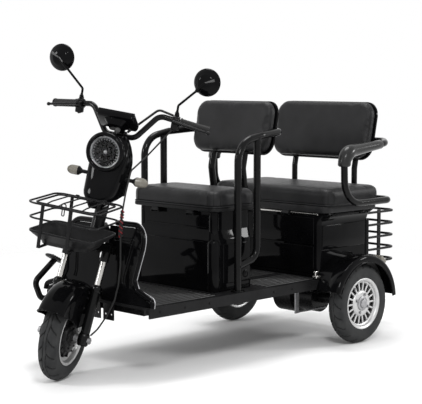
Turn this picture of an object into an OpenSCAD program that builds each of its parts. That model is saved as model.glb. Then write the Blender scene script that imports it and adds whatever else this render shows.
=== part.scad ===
// Three-wheeled electric passenger tricycle with a driver's seat and a rear bench.
// X points forward, Y to the vehicle's left and Z up. Heights are above the ground.
// Lengths along X are written from the rear axle, and the finished model is moved
// so that its origin lies on the ground below the middle of its box.

/* [Wheels] */
// Outer diameter of every tyre
tyre_d = 370; // [350:1:390]
// Width of the round tyre section
tyre_w = 80; // [70:1:84]
// Diameter of the rim's bead seat
bead_d = 220; // [210:1:230]
// Distance from the rear axle to the front axle
wheelbase = 1430; // [1400:1:1500]
// Distance between the rear tyres' middle planes
track = 792; // [760:1:840]
// Number of slots around a wheel disc
rim_slots = 18; // [8:1:24]

/* [Steering] */
// Backward lean of the steering axis in degrees
rake = 20; // [16:0.5:24]
// How far the axis meets the ground ahead of the front axle
trail = 22; // [10:1:40]
// Angle to the left at which the steering is parked
steer_parked = 28; // [0:1:30]
// Half the distance between the fork legs
fork_half = 85; // [80:1:95]
// Radius of the chrome fork tubes
stanchion_r = 13; // [11:0.5:15]
// Radius of the lower fork legs
leg_r = 19; // [17:0.5:21]
// Height along the axis of the fork crown's underside
crown_w = 545; // [530:1:560]
// Space along the axis from the crown's underside up to the head tube
head_gap = 47; // [43:1:60]
// Length of the head tube
head_len = 140; // [120:1:150]

/* [Handlebar] */
// Radius of the bar
bar_r = 12; // [11:0.5:13]
// Half the width over the grips
bar_half = 352; // [330:1:370]
// Height of the bar's middle
bar_z = 982; // [960:1:1000]
// Height of the bar's shoulders
bar_rise = 108; // [80:1:120]
// Length of a grip
grip_len = 122; // [110:1:130]
// Radius of a mirror
mirror_r = 58; // [50:1:65]

/* [Body] */
// Height of the footboard's upper face
floor_z = 308; // [296:1:320]
// Half the width of the footboard
floor_half = 330; // [315:1:340]
// Depth of the footboard's side skirt
skirt_h = 44; // [36:1:50]
// Front end of the footboard
floor_front = 1240; // [1225:1:1245]
// Thickness of a moulded panel
panel = 6; // [4:0.5:9]
// Height of the leg shield's upper edge
shield_z = 612; // [590:1:640]
// Half the width of the leg shield near its top
shield_half = 228; // [210:1:250]
// Radius of the leg shield's rolled edge
trim_r = 11.5; // [6:0.5:14]

/* [Driver seat] */
// Front face of the driver's seat box
dbox_front = 796; // [780:1:830]
// Depth of the driver's seat box from front to back
dbox_len = 248; // [230:1:290]
// Half the width of the driver's seat box
dbox_half = 250; // [225:1:262]
// Height of the driver's seat box
dbox_h = 346; // [320:1:370]
// Height of the driver's box up to its ledge
ledge_h = 228; // [200:1:250]
// How far the driver's box steps in above its ledge
ledge_in = 14; // [8:1:20]
// Thickness of the driver's cushion
dcush_h = 72; // [55:1:85]
// How far a cushion and its pan stand out past the box
cush_over = 12; // [6:1:20]
// Half the width of the driver's backrest
dback_half = 238; // [210:1:260]
// Lower edge of the driver's backrest
dback_z = 890; // [870:1:920]
// Height of the driver's backrest
dback_h = 240; // [200:1:260]
// Front face of the driver's backrest
dback_x = 468; // [450:1:490]
// Thickness of a backrest pad
back_t = 62; // [50:1:75]
// Thickness of the hard shell at a backrest's back
shell_t = 18; // [12:1:24]
// How far both backrests lean back, in degrees
back_lean = 12; // [0:1:18]

/* [Guard rails] */
// Radius of the guard rails and armrest tubes
rail_r = 16; // [14:0.5:18]
// Half the distance between the driver's guard rails
rail_half = 296; // [285:1:305]
// Front upright of a guard rail
rail_front = 697; // [670:1:720]
// Rear upright of a guard rail
rail_rear = 577; // [560:1:600]

/* [Rear seat] */
// Front face of the rear seat box
rbox_front = 172; // [150:1:190]
// Depth of the rear seat box from front to back
rbox_len = 362; // [340:1:380]
// Half the width of the rear seat box
rbox_half = 305; // [290:1:315]
// Height of the rear seat box above the footboard
rbox_h = 300; // [280:1:320]
// Half the width of the rear cushion
rcush_half = 370; // [350:1:385]
// Thickness of the rear cushion
rcush_h = 80; // [60:1:90]
// Half the width of the rear backrest
rback_half = 304; // [280:1:320]
// Lower edge of the rear backrest
rback_z = 841; // [825:1:865]
// Height of the rear backrest
rback_h = 278; // [240:1:300]
// Space between the rear cushion and an armrest tube
arm_gap = 26; // [22:1:40]
// Greatest radius of an armrest's padded sleeve
arm_pad_r = 31; // [26:1:34]

/* [Rack and basket] */
// Number of hoops in the rear rack
rack_hoops = 5; // [3:1:6]
// Radius of a rack hoop's rod
rack_r = 6; // [4:0.5:8]
// How far the rack stands out behind the rear seat box
rack_len = 236; // [180:1:260]
// Half the width of the front basket at its rim
basket_half = 150; // [130:1:165]
// Length of the front basket at its rim
basket_len = 280; // [240:1:300]
// Height of the front basket's rim
basket_z = 738; // [720:1:750]
// Depth of the front basket from the rim to the tray's edge
basket_h = 110; // [85:1:120]
// Radius of the basket's wire
wire_r = 4; // [3:0.5:5]
// Number of wires along the basket's lid
lid_wires = 4; // [2:1:6]

/* [Hidden] */
$fn = 48;

// Clearances
gap = 0.3;
run_gap = 0.06;

// Wheel places and sizes
tyre_r = tyre_d / 2;
section_r = tyre_w / 2;
bead_r = bead_d / 2;
flange_r = bead_r + 8;
rim_half = 36;
disc_y = 14;
disc_t = 9;
hub_r = 34;
drum_r = 62;
rear_stub_r = 10;
front_axle_r = 8;
hub_in = 44;
hub_out = 30;
front_hub_half = 46;

// Steering axis
axis_x = wheelbase + trail;
axle_u = tyre_r * sin(rake) - trail * cos(rake);
axle_w = tyre_r * cos(rake) + trail * sin(rake);

// Box levels and seat hinges
slab_t = 12;
dbox_top = floor_z + dbox_h;
rbox_top = floor_z + rbox_h;
pan_t = 16;
rpan_t = 32;
hinge_r = 6;
hinge_drop = 10;
hinge_pin_r = 3;
dhinge_x = dbox_front + cush_over - hinge_r - 1;
rhinge_x = rbox_front + hinge_r + 2;
dbox_back = dbox_front - dbox_len;
rbox_back = rbox_front - rbox_len;
rcush_z = rbox_top + rpan_t;

// Rear backrest and its posts
rback_x = rbox_back + 33;
// A point behind a backrest's lower front edge by d and up it by h, as it leans: [x, z]
function leaned(x, z, d, h) =
    [x - d * cos(back_lean) - h * sin(back_lean), z - d * sin(back_lean) + h * cos(back_lean)];
post_half = 190;
post_r = 14;
post_off = back_t + post_r + gap;
post_knee = leaned(rback_x, rback_z, post_off, -40);
post_x = post_knee[0];
arm_end = leaned(rback_x, rback_z, back_t + rail_r + 2 * gap, 100);
arm_x = arm_end[0];
arm_half = rcush_half + arm_gap + rail_r;

// Frame members
rail_w = 40;
frame_half = 210;
rail_top = floor_z - slab_t;
frame_rear = post_x - rail_w / 2;
frame_front = floor_front - 60;
head_w = crown_w + head_gap;
head_r = 27;
head_bore_r = 20;
stem_r = 17;

// The rear-most and front-most points set the middle of the box
basket_front = 1612;
basket_corner = 40;
ff_r = tyre_r + 44;
ff_half = section_r + 18;
ff_crown = ff_half - 26;
ff_t = 5;
ff_from = 38;
rack_end = rbox_back - rack_len - rack_r;
nose_corner = turned([basket_front - basket_corner, -basket_half + basket_corner, basket_z]);
nose_lean = turned([axis_x, 0, 1])[0] - axis_x;
basket_end = nose_corner[0] + basket_corner * sqrt(1 - nose_lean * nose_lean) + wire_r;
fender_tip = turned([wheelbase + ff_r * cos(ff_from), -ff_crown, tyre_r + ff_r * sin(ff_from)]);
nose_end = max(basket_end, fender_tip[0]);
mid_x = (rack_end + nose_end) / 2;

// Where a point of the steered parts lies when the steering is parked
function turned(p) =
    let (u = (p[0] - axis_x) * cos(rake) + p[2] * sin(rake),
        w = -(p[0] - axis_x) * sin(rake) + p[2] * cos(rake),
        t = u * cos(steer_parked) - p[1] * sin(steer_parked))
    [axis_x + t * cos(rake) - w * sin(rake), u * sin(steer_parked) + p[1] * cos(steer_parked),
        t * sin(rake) + w * cos(rake)];

// Places a part that stays with the frame
module placed() translate([-mid_x, 0, 0]) children();

// Turns its children with the steering, which is parked at an angle
module steered()
    placed() translate([axis_x, 0, 0]) rotate([0, -rake, 0]) rotate([0, 0, steer_parked])
        rotate([0, rake, 0]) translate([-axis_x, 0, 0]) children();

// Axis frame: Z runs up the steering axis from the ground
module on_axis() translate([axis_x, 0, 0]) rotate([0, -rake, 0]) children();

// Draws its children on the left and again, mirrored, on the right
module both_sides() {
    children();
    mirror([0, 1, 0]) children();
}

// Vector helpers
function unit(v) = v / norm(v);
function flip(p) = [p[0], -p[1], p[2]];
function reversed(list) = [for (i = [len(list) - 1:-1:0]) list[i]];

// Rod of radius r between two points
module rod(a, b, r) {
    d = b - a;
    translate(a) rotate([0, acos(d[2] / norm(d)), atan2(d[1], d[0])]) cylinder(h = norm(d), r = r);
}

// Turn at a corner of a bent rod: start direction a, end direction b
function turn(p, i) = acos(unit(p[i] - p[i - 1]) * unit(p[i + 1] - p[i]));
function bend_at(bend, i) = is_list(bend) ? bend[i] : bend;
function setback(p, i, bend) =
    i == 0 || i == len(p) - 1 ? 0 : bend_at(bend, i) * tan(turn(p, i) / 2);

// Points and directions along a path bent at its corners, with n steps around each bend
function bend_steps(p, i, bend, n) =
    let (a = unit(p[i] - p[i - 1]), b = unit(p[i + 1] - p[i]), t = turn(p, i), r = bend_at(bend, i),
        side = unit(b - a * (a * b)), c = p[i] - a * setback(p, i, bend) + side * r)
    [for (k = [0:n]) [c - side * r * cos(t * k / n) + a * r * sin(t * k / n),
        a * cos(t * k / n) + side * sin(t * k / n)]];
function path_steps(p, bend, n) = concat([[p[0], unit(p[1] - p[0])]],
    [for (i = [1:1:len(p) - 2]) for (s = bend_steps(p, i, bend, n)) s],
    [[p[len(p) - 1], unit(p[len(p) - 1] - p[len(p) - 2])]]);

// Side vectors carried along the path without twist
function square_to(x, d) = unit(x - d * (x * d));
function carried(steps, x, i) = i == len(steps) ? [] :
    let (now = square_to(x, steps[i][1])) concat([now], carried(steps, now, i + 1));

// Rod of radius r bent through the points p, drawn as one closed skin with the given sides
module bent_rod(p, r, bend, sides = 16, n = 6) {
    steps = path_steps(p, bend, n);
    d = steps[0][1];
    xs = carried(steps, abs(d[2]) > 0.9 ? [0, 1, 0] : [0, 0, 1], 0);
    last = len(steps) - 1;
    polyhedron(
        points = [for (i = [0:last]) let (y = cross(steps[i][1], xs[i])) for (k = [0:sides - 1])
            steps[i][0] + (xs[i] * cos(k * 360 / sides) + y * sin(k * 360 / sides)) * r],
        faces = concat(
            [[for (k = [0:sides - 1]) k]],
            [for (i = [0:last - 1]) for (k = [0:sides - 1]) let (a = i * sides, b = (k + 1) % sides)
                each [[a + k, a + sides + k, a + sides + b], [a + k, a + sides + b, a + b]]],
            [[for (k = [sides - 1:-1:0]) last * sides + k]]));
}

// Rectangle of size [x, y] with round corners
module round_rect(size, r) {
    translate([-size[0] / 2 + r, -size[1] / 2]) square([size[0] - 2 * r, size[1]]);
    translate([-size[0] / 2, -size[1] / 2 + r]) square([size[0], size[1] - 2 * r]);
    for (x = [-1, 1], y = [-1, 1])
        translate([x * (size[0] / 2 - r), y * (size[1] / 2 - r)]) circle(r);
}

// Block over a plan of size [x, y] with round corners, standing on z
module plan_block(x0, x1, half, z, h, r)
    translate([(x0 + x1) / 2, 0, z]) linear_extrude(h) round_rect([x1 - x0, 2 * half], r);

// Upright pad with its front face at x, standing on z
module leaning(x, z) translate([x, 0, z]) rotate([0, -back_lean, 0]) translate([-x, 0, -z]) children();
module upright_pad(x, half, z, h, t, r)
    translate([x - t, 0, z + h / 2]) rotate([90, 0, 90]) linear_extrude(t) round_rect([2 * half, h], r);

// Wheels

// Tyre around the Y axis
module tyre()
    color("#1c1c1e") rotate([90, 0, 0]) rotate_extrude($fn = 96) difference() {
        translate([tyre_r - section_r, 0]) circle(section_r);
        translate([0, -section_r]) square([bead_r + gap, tyre_w]);
    }

// Cast wheel around the Y axis, its slotted face towards +Y, on an axle of radius bore
module rim(bore, inner, outer, drum)
    color("#c8c8ca") rotate([-90, 0, 0]) difference() {
        union() {
            rotate_extrude($fn = 96) polygon([
                [bead_r - 8, -rim_half], [flange_r, -rim_half], [flange_r, -rim_half + 5],
                [bead_r, -rim_half + 7], [bead_r, rim_half - 7], [flange_r, rim_half - 5],
                [flange_r, rim_half], [bead_r - 8, rim_half]]);
            translate([0, 0, disc_y]) cylinder(h = disc_t, r = bead_r - 4);
            translate([0, 0, disc_y]) cylinder(h = disc_t + 6, r = 52);
            translate([0, 0, -inner]) cylinder(h = inner + outer, r = hub_r);
            translate([0, 0, -inner]) cylinder(h = inner, r = drum);
        }
        for (i = [0:rim_slots - 1]) rotate([0, 0, i * 360 / rim_slots])
            translate([66, -5, disc_y - 1]) cube([26, 10, disc_t + 2]);
        translate([0, 0, -inner - 1]) cylinder(h = inner + outer + 2, r = bore + run_gap);
    }

module at_front_wheel() steered() translate([wheelbase, 0, tyre_r]) children();
module at_left_wheel() placed() translate([0, track / 2, tyre_r]) children();
module at_right_wheel() placed() translate([0, -track / 2, tyre_r]) mirror([0, 1, 0]) children();

module front_tyre() at_front_wheel() tyre();
module front_rim() at_front_wheel() rim(front_axle_r, front_hub_half, front_hub_half, drum_r);
module left_tyre() at_left_wheel() tyre();
module left_rim() at_left_wheel() rim(rear_stub_r, hub_in, hub_out, drum_r);
module right_tyre() at_right_wheel() tyre();
module right_rim() at_right_wheel() rim(rear_stub_r, hub_in, hub_out, drum_r);

// Chassis

// Two side members with cross members, the neck and the head tube
module frame() color("#161616") placed() {
    both_sides() translate([frame_rear, frame_half - rail_w / 2, rail_top - rail_w])
        cube([frame_front - frame_rear, rail_w, rail_w]);
    for (x = [frame_rear, rbox_front - rail_w, dbox_back, frame_front - rail_w])
        translate([x, -frame_half, rail_top - rail_w]) cube([rail_w, 2 * frame_half, rail_w]);
    front_brackets();
    difference() {
        union() {
            neck();
            on_axis() translate([0, 0, head_w]) cylinder(h = head_len, r = head_r);
        }
        head_bore();
    }
}

// Angle plates on the front cross member, each with two bolt holes
bracket_t = 6;
bracket_reach = 30;
bracket_y = 42;
bracket_w = 64;
bracket_h = 76;
bracket_hole_r = 5.5;
bracket_hole_h = 24;
bracket_pitch = 36;
module front_brackets() both_sides() translate([frame_front, bracket_y, rail_top - bracket_h]) difference() {
    union() {
        translate([-1, -bracket_w / 2, bracket_h - bracket_t]) cube([bracket_reach + 1, bracket_w, bracket_t]);
        translate([bracket_reach - bracket_t, -bracket_w / 2, 0]) cube([bracket_t, bracket_w, bracket_h]);
        translate([-1, -bracket_t / 2, bracket_h - rail_w]) cube([bracket_reach, bracket_t, rail_w]);
    }
    for (y = [-1, 1]) translate([bracket_reach - bracket_t - 1, y * bracket_pitch / 2, bracket_hole_h])
        rotate([0, 90, 0]) cylinder(h = bracket_t + 2, r = bracket_hole_r);
}

module head_bore() on_axis() translate([0, 0, head_w - 1]) cylinder(h = head_len + 2, r = head_bore_r);

// Bent tube from the front cross member up to the head tube
neck_x = frame_front - rail_w / 2;
neck_r = 21;
function axis_point(w, u) = [axis_x - w * sin(rake) + u * cos(rake), 0, w * cos(rake) + u * sin(rake)];
module neck() bent_rod([[neck_x, 0, rail_top - 10], [neck_x, 0, shield_z - 70],
    axis_point(head_w + head_len / 2, -head_r - gap)], neck_r, 40);

// Ribbed footboard with a side skirt
rib_pitch = 27;
rib_w = 9;
rib_h = 4;
module floor_pan() color("#1a1a1b") placed() difference() {
    union() {
        translate([rbox_front - 30, -floor_half, floor_z - slab_t])
            cube([floor_front - rbox_front + 30, 2 * floor_half, slab_t]);
        both_sides() translate([rbox_front - 30, floor_half - panel, floor_z - skirt_h])
            cube([floor_front - rbox_front + 30, panel, skirt_h]);
    }
    // Room for the neck and for the rear fenders
    translate([neck_x, 0, floor_z - slab_t - 1]) cylinder(h = slab_t + 2, r = neck_r + 2);
    translate([0, 0, tyre_r]) rotate([-90, 0, 0]) for (s = [0, 1]) mirror([0, 0, s])
        translate([0, 0, fender_in - 2]) cylinder(h = floor_half - fender_in + 4, r = fender_r + 4);
    // Grooves between the ribs, clear of the seat box
    for (y = [-floor_half + 2 * rib_w:rib_pitch:floor_half - 2 * rib_w]) {
        translate([dbox_front + 20, y, floor_z - rib_h])
            cube([floor_front - dbox_front - 60, rib_w, rib_h + 1]);
        translate([rbox_front + 20, y, floor_z - rib_h]) cube([dbox_back - rbox_front - 40, rib_w, rib_h + 1]);
    }
}

// Leg shield: a sloping panel behind the front wheel that flares out to the footboard
shield_top_x = 1172;
shield_lean = atan((floor_front - 8 - shield_top_x) / (shield_z - floor_z));
shield_waist = 204;
shield_corner = 58;
shield_flare = 14;
neck_slot = 30;
shield_h = (shield_z - floor_z) / cos(shield_lean);
// Corners of the shield's left half from the footboard up, moved outwards by d, and their bend radii
function shield_corners(d) = [
    [floor_half + d, 0, 0], [floor_half + d, shield_flare + d, 0],
    [shield_half + d, shield_flare + 40 + d / 2, 0],
    [shield_waist + d, shield_flare + 84, 0], [shield_half + d, shield_h - 1.4 * shield_corner, 0],
    [shield_half + d, shield_h + d, 0], [neck_slot + 30, shield_h + d, 0]];
function shield_bends(d) = [0, 6 + d, 24 - d, 30 - d, 60 + d, shield_corner + d, 0];
function shield_half_outline() =
    [for (s = path_steps(shield_corners(0), shield_bends(0), 5)) [s[0][0], s[0][1]]];
module shield_shape() polygon(concat(shield_half_outline(),
    reversed([for (p = shield_half_outline()) [-p[0], p[1]]])));
module on_shield() translate([floor_front - 8, 0, floor_z]) rotate([0, -shield_lean, 0])
    rotate([90, 0, 90]) children();
module leg_shield() color("#101011") placed() on_shield() {
    difference() {
        linear_extrude(panel) shield_shape();
        // Slot for the frame's neck
        translate([-neck_slot, shield_h * 0.55, -1]) cube([2 * neck_slot, shield_h, panel + 2]);
    }
    shield_trim();
}

// Rolled edge around the leg shield
module shield_trim() translate([0, 0, panel / 2]) both_ways()
    bent_rod(shield_corners(trim_r + 2 * gap), trim_r, shield_bends(trim_r + 2 * gap), 12, 5);
module both_ways() {
    children();
    mirror([1, 0, 0]) children();
}

// Ears and pin of a seat hinge, at the two places along the front edge
hinge_at = 110;
hinge_len = 40;
ear_t = 6;
module hinge_ears(x, z, wall_x) both_sides() translate([0, hinge_at, 0]) {
    translate([x, -hinge_len / 2 - ear_t, z]) rotate([-90, 0, 0])
        cylinder(h = hinge_len + 2 * ear_t, r = hinge_pin_r);
    for (y = [-hinge_len / 2 - ear_t, hinge_len / 2]) {
        translate([x, y, z]) rotate([-90, 0, 0]) cylinder(h = ear_t, r = hinge_r);
        translate([wall_x - 1, y, z - 2 * hinge_r]) cube([x - wall_x + 1, ear_t, 2 * hinge_r]);
    }
}

// Barrels of a seat hinge, with tabs up to the pan's front edge
module hinge_barrels(x, z) both_sides() translate([x, hinge_at - hinge_len / 2 + gap, z])
    rotate([-90, 0, 0]) difference() {
        union() {
            cylinder(h = hinge_len - 2 * gap, r = hinge_r);
            translate([-4, -hinge_drop - 1, 0]) cube([8, hinge_drop + 1, hinge_len - 2 * gap]);
        }
        translate([0, 0, -1]) cylinder(h = hinge_len + 2, r = hinge_pin_r + run_gap);
    }

dhinge_z = dbox_top - hinge_drop;
rhinge_z = rbox_top - hinge_drop;
box_wall = 8;
ledge_rise = 34;
column_r = 28;
module driver_box() color("#0e0e0f") placed() {
    ledge_z = floor_z + ledge_h;
    upper_front = dbox_front - ledge_in;
    upper_half = dbox_half - ledge_in;
    difference() {
        union() {
            plan_block(dbox_back, dbox_front, dbox_half, floor_z, ledge_h, 40);
            hull() {
                plan_block(dbox_back + 1, dbox_front - 1, dbox_half - 1, ledge_z - 2, 1, 39);
                plan_block(dbox_back + 1, upper_front + 1, upper_half + 1, ledge_z + ledge_rise, 1, 31);
            }
            plan_block(dbox_back, upper_front, upper_half, ledge_z, dbox_h - ledge_h, 30);
            both_sides() translate([dbox_front - column_r + 4, dbox_half - column_r + 4, floor_z])
                cylinder(h = ledge_h - 6, r = column_r);
        }
        plan_block(dbox_back + box_wall, upper_front - box_wall, upper_half - box_wall,
            floor_z + box_wall, dbox_h, 26);
    }
    hinge_ears(dhinge_x, dhinge_z, upper_front);
}

// Battery pack, one plain block on the box floor
battery_in = 30;
battery_side = 40;
battery_h = 190;
module battery_pack() color("#303438") placed()
    translate([dbox_back + battery_in, -dbox_half + battery_side, floor_z + box_wall])
        cube([dbox_len - 2 * battery_in, 2 * (dbox_half - battery_side), battery_h]);

flare_h = 48;
module rear_box() color("#0e0e0f") placed() {
    difference() {
        union() {
            plan_block(rbox_back, rbox_front, rbox_half, floor_z, rbox_h, 22);
            // Flare under the wider cushion
            hull() {
                plan_block(rbox_back + 1, rbox_front - 1, rbox_half - 1, rbox_top - flare_h, 1, 21);
                plan_block(rbox_back + 1, rbox_front - 1, rcush_half - 22, rbox_top - 9, 8, 30);
            }
        }
        plan_block(rbox_back + box_wall, rbox_front - box_wall, rbox_half - box_wall,
            floor_z + box_wall, rbox_h, 18);
    }
    hinge_ears(rhinge_x, rhinge_z, rbox_front);
}

// Seats that tip forward on hinges at their front edges
module pan(x0, x1, half, z, h, hinge_x, hinge_z) {
    plan_block(x0, x1, half, z, h, 38);
    hinge_barrels(hinge_x, hinge_z);
}
module driver_pan() color("#141415") placed()
    pan(dbox_back - cush_over, dbox_front + cush_over, dbox_half + cush_over, dbox_top, pan_t,
        dhinge_x, dhinge_z);
module driver_cushion() color("#2a2a2c") placed()
    plan_block(dbox_back - cush_over, dbox_front + cush_over, dbox_half + cush_over, dbox_top + pan_t,
        dcush_h, 40);
module rear_pan() color("#141415") placed()
    pan(rbox_back - cush_over, rbox_front + cush_over, rcush_half - 14, rbox_top, rpan_t, rhinge_x, rhinge_z);
module rear_cushion() color("#2a2a2c") placed()
    plan_block(rbox_back - cush_over, rbox_front + cush_over, rcush_half, rcush_z, rcush_h, 40);

// Backrests
pad_t = back_t - shell_t - gap;
shell_edge = 2;
module driver_backrest() color("#2a2a2c") placed() leaning(dback_x, dback_z)
    upright_pad(dback_x, dback_half, dback_z, dback_h, pad_t, 58);
module rear_backrest() color("#2a2a2c") placed() leaning(rback_x, rback_z)
    upright_pad(rback_x, rback_half, rback_z, rback_h, pad_t, 70);

// Hard shells behind the two backrests
module back_shell(x, half, z, h, r)
    upright_pad(x - back_t + shell_t, half + shell_edge, z - shell_edge, h + 2 * shell_edge, shell_t,
        r + shell_edge);
module backrest_shells() color("#101011") placed() {
    leaning(dback_x, dback_z) back_shell(dback_x, dback_half, dback_z, dback_h, 58);
    leaning(rback_x, rback_z) back_shell(rback_x, rback_half, rback_z, rback_h, 70);
}

// Two posts and a cross rail behind the rear backrest, leaning with it above the knee
post_tip = leaned(rback_x, rback_z, post_off, rback_h * 0.7);
post_rail = leaned(rback_x, rback_z, post_off, rback_h * 0.5);
module backrest_posts() color("#1c1c1c") placed() {
    both_sides() bent_rod([[post_x, post_half, rail_top], [post_x, post_half, post_knee[1]],
        [post_tip[0], post_half, post_tip[1]]], post_r, 60);
    rod([post_rail[0], -post_half, post_rail[1]], [post_rail[0], post_half, post_rail[1]], post_r);
}

// Driver's guard rails: front upright, rail back to the side of the backrest's shell, rear upright
rail_top_z = 952;
rail_low_z = 416;
rail_in = dback_half + shell_edge + 32;
rail_end = leaned(dback_x, dback_z, pad_t, dback_h * 0.44);
rail_knee = [rail_rear - 30, rail_half, rail_top_z + 22];
rail_corner = [rail_front, rail_half, rail_top_z - 6];
rail_share = (rail_front - rail_rear) / (rail_front - rail_knee[0]);
module guard_rail() {
    bent_rod([[rail_front, rail_half, floor_z], rail_corner, rail_knee, [rail_end[0], rail_in, rail_end[1]],
        [rail_end[0], dback_half + shell_edge + gap, rail_end[1]]], rail_r, [0, 100, 100, 28, 0]);
    bent_rod([[rail_rear, rail_half, rail_corner[2] + rail_share * (rail_knee[2] - rail_corner[2])],
        [rail_rear, rail_half, rail_low_z + 30], [rail_front, rail_half, rail_low_z]], rail_r - 1.4, 60);
}
// Bowed legs from the floor up to the driver's backrest
leg_half = 98;
leg_bow = 12;
leg_in = 22;
leg_knee = leaned(dback_x, dback_z, leg_in, -70);
leg_tip = leaned(dback_x, dback_z, leg_in, -gap);
module backrest_leg() bent_rod([[leg_knee[0] - leg_bow, leg_half, floor_z],
    [leg_knee[0] - leg_bow, leg_half, dback_z - 154], [leg_knee[0], leg_half, leg_knee[1]],
    [leg_tip[0], leg_half, leg_tip[1]]], rail_r, 60);
module guard_rails() color("#1f1f1f") placed() both_sides() {
    guard_rail();
    backrest_leg();
}

// Rear armrests: a loop from behind the backrest forward, down and back under the cushion
arm_top_z = arm_end[1];
arm_in = rback_half + shell_edge + 36;
arm_front = 128;
arm_low_z = 651;
arm_back = rbox_back - 34;
arm_post = post_half + post_r + gap;
arm_points = [[arm_x, arm_post, arm_top_z], [arm_x, arm_in, arm_top_z],
    [arm_x + 65, arm_half - 14, arm_top_z - 6], [arm_front, arm_half, arm_top_z - 36],
    [arm_front - 8, arm_half, arm_low_z], [arm_back, arm_half, arm_low_z], [arm_back, arm_post, arm_low_z]];
arm_bends = [0, 46, 90, 60, 115, 46, 0];
module rear_armrests() color("#1f1f1f") placed() both_sides() bent_rod(arm_points, rail_r, arm_bends);
arm_run = arm_points[3] - arm_points[2];
pad_from = 0.11 * norm(arm_run);
pad_len = 0.75 * norm(arm_run);
bulb_at = arm_points[3]
    + 18 * unit(unit(arm_points[2] - arm_points[3]) + unit(arm_points[4] - arm_points[3]));
// Sleeve that thickens towards the front end, and the bulb around the tube's bend
module armrest_pads() color("#3a3a3a") placed() both_sides() difference() {
    union() {
        translate(arm_points[2]) rotate([0, acos(arm_run[2] / norm(arm_run)), atan2(arm_run[1], arm_run[0])])
            translate([0, 0, pad_from]) rotate_extrude($fn = 24) polygon([[0, 0], [arm_pad_r - 11, 0],
                [arm_pad_r - 9, 5], [arm_pad_r - 8, pad_len * 0.5], [arm_pad_r - 2, pad_len * 0.9],
                [arm_pad_r - 2, pad_len], [0, pad_len]]);
        translate(bulb_at) sphere(arm_pad_r + 2, $fn = 28);
    }
    bent_rod(arm_points, rail_r + gap, arm_bends);
}

// Rear fenders: arched covers carried by the seat box
fender_r = tyre_r + 42;
fender_t = 5;
fender_from = 20;
fender_turn = 155;
fender_in = rbox_half + gap;
fender_out = track / 2 + 58;
module rear_fender() translate([0, 0, tyre_r]) rotate([90, 0, 0]) rotate([0, 0, fender_from])
    rotate_extrude(angle = fender_turn) polygon([
        [fender_r - 22, -fender_out], [fender_r, -fender_out + 10], [fender_r, -fender_in],
        [fender_r - fender_t, -fender_in], [fender_r - fender_t, -fender_out + 14],
        [fender_r - 22, -fender_out + fender_t]]);
module rear_fenders() color("#101011") placed() both_sides() rear_fender();

// Rear rack: hoops one above the other on two straps
rack_low = 340;
rack_top = 578;
rack_half = 286;
rack_pitch = (rack_top - rack_low) / (rack_hoops - 1);
module rear_rack() color("#c4c4c4") placed() {
    for (i = [0:rack_hoops - 1]) translate([0, 0, rack_low + i * rack_pitch])
        bent_rod([[rbox_back - gap, rack_half, 0], [rbox_back - rack_len, rack_half, 0],
            [rbox_back - rack_len, -rack_half, 0], [rbox_back - gap, -rack_half, 0]], rack_r, 50, 10);
    both_sides() translate([rbox_back - rack_len / 2 - 12, rack_half - rack_r - 6 - gap, rack_low - 10])
        cube([24, 6, rack_top - rack_low + 20]);
}

// Tail lamps on the back of the seat box, and side lamps on the rear of the fenders
lamp_half = 245;
lamp_box = [24, 64, 40];
fender_wide = fender_out - fender_in;
side_lamp = [44, 0.417 * fender_wide, 28];
side_lamp_y = fender_in + 0.61 * fender_wide;
side_lamp_at = -40;
tail_z = rbox_top - 88;
module tail_lamps() color("#8c1a16") placed() both_sides() {
    translate([rbox_back - lamp_box[0] - gap, lamp_half - lamp_box[1] / 2, tail_z]) cube(lamp_box);
    translate([0, side_lamp_y, tyre_r]) rotate([0, side_lamp_at, 0])
        translate([-side_lamp[0] / 2, -side_lamp[1] / 2, fender_r + gap]) cube(side_lamp);
}

// Rear axle: tube, backing plates, stubs, differential and motor
axle_tube_r = 26;
plate_y = track / 2 - hub_in - gap;
diff_r = 86;
module rear_axle() color("#1b1b1c") placed() translate([0, 0, tyre_r]) rotate([-90, 0, 0]) {
    translate([0, 0, -plate_y]) cylinder(h = 2 * plate_y, r = axle_tube_r);
    for (s = [0, 1]) mirror([0, 0, s]) {
        translate([0, 0, plate_y - 8]) cylinder(h = 8, r = drum_r + 6);
        translate([0, 0, plate_y]) cylinder(h = hub_in + hub_out + gap + 10, r = rear_stub_r);
        translate([0, 0, track / 2 + hub_out + gap]) cylinder(h = 10, r = 17, $fn = 6);
    }
    translate([0, 0, -55]) cylinder(h = 110, r = diff_r);
    translate([0, 0, 55]) cylinder(h = spring_y - 90, r = 70);
}

// Leaf springs between the side members and the axle
spring_y = frame_half;
spring_half = 230;
spring_t = 14;
spring_z = tyre_r + axle_tube_r + gap;
module leaf_springs() color("#202020") placed() both_sides()
    translate([0, spring_y + 20, 0]) rotate([90, 0, 0]) linear_extrude(40) polygon(concat(
        [for (x = [-spring_half:46:spring_half]) [x, spring_drop(x)]],
        reversed([for (x = [-spring_half:46:spring_half]) [x, spring_drop(x) + spring_t]])));
spring_rise = rail_top - rail_w - gap - spring_t - spring_z;
function spring_drop(x) = spring_z + spring_rise * pow(x / spring_half, 2);

// Foot brake pedal on the right, from the side member out under the footboard and up past its front
pedal_y = -floor_half + 24;
pedal_r = 13;
pedal_z = rail_top - 20;
pedal_rise = 135;
pedal_top = floor_z + pedal_rise;
pedal_x = floor_front - 28;
pedal_tilt = -28;
pedal_pad = [104, 62, 12];
module brake_pedal() color("#191919") placed() {
    bent_rod([[frame_front - 24, -frame_half - rail_w / 2 - gap, pedal_z], [frame_front - 24, pedal_y, pedal_z],
        [floor_front + 52, pedal_y, pedal_z], [floor_front + 84, pedal_y, floor_z + 46],
        [pedal_x + 2, pedal_y, pedal_top - 4]], pedal_r, 32, 12);
    translate([pedal_x, pedal_y, pedal_top - 6]) rotate([0, pedal_tilt, 0])
        linear_extrude(pedal_pad[2]) round_rect([pedal_pad[0], pedal_pad[1]], 28);
}

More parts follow.
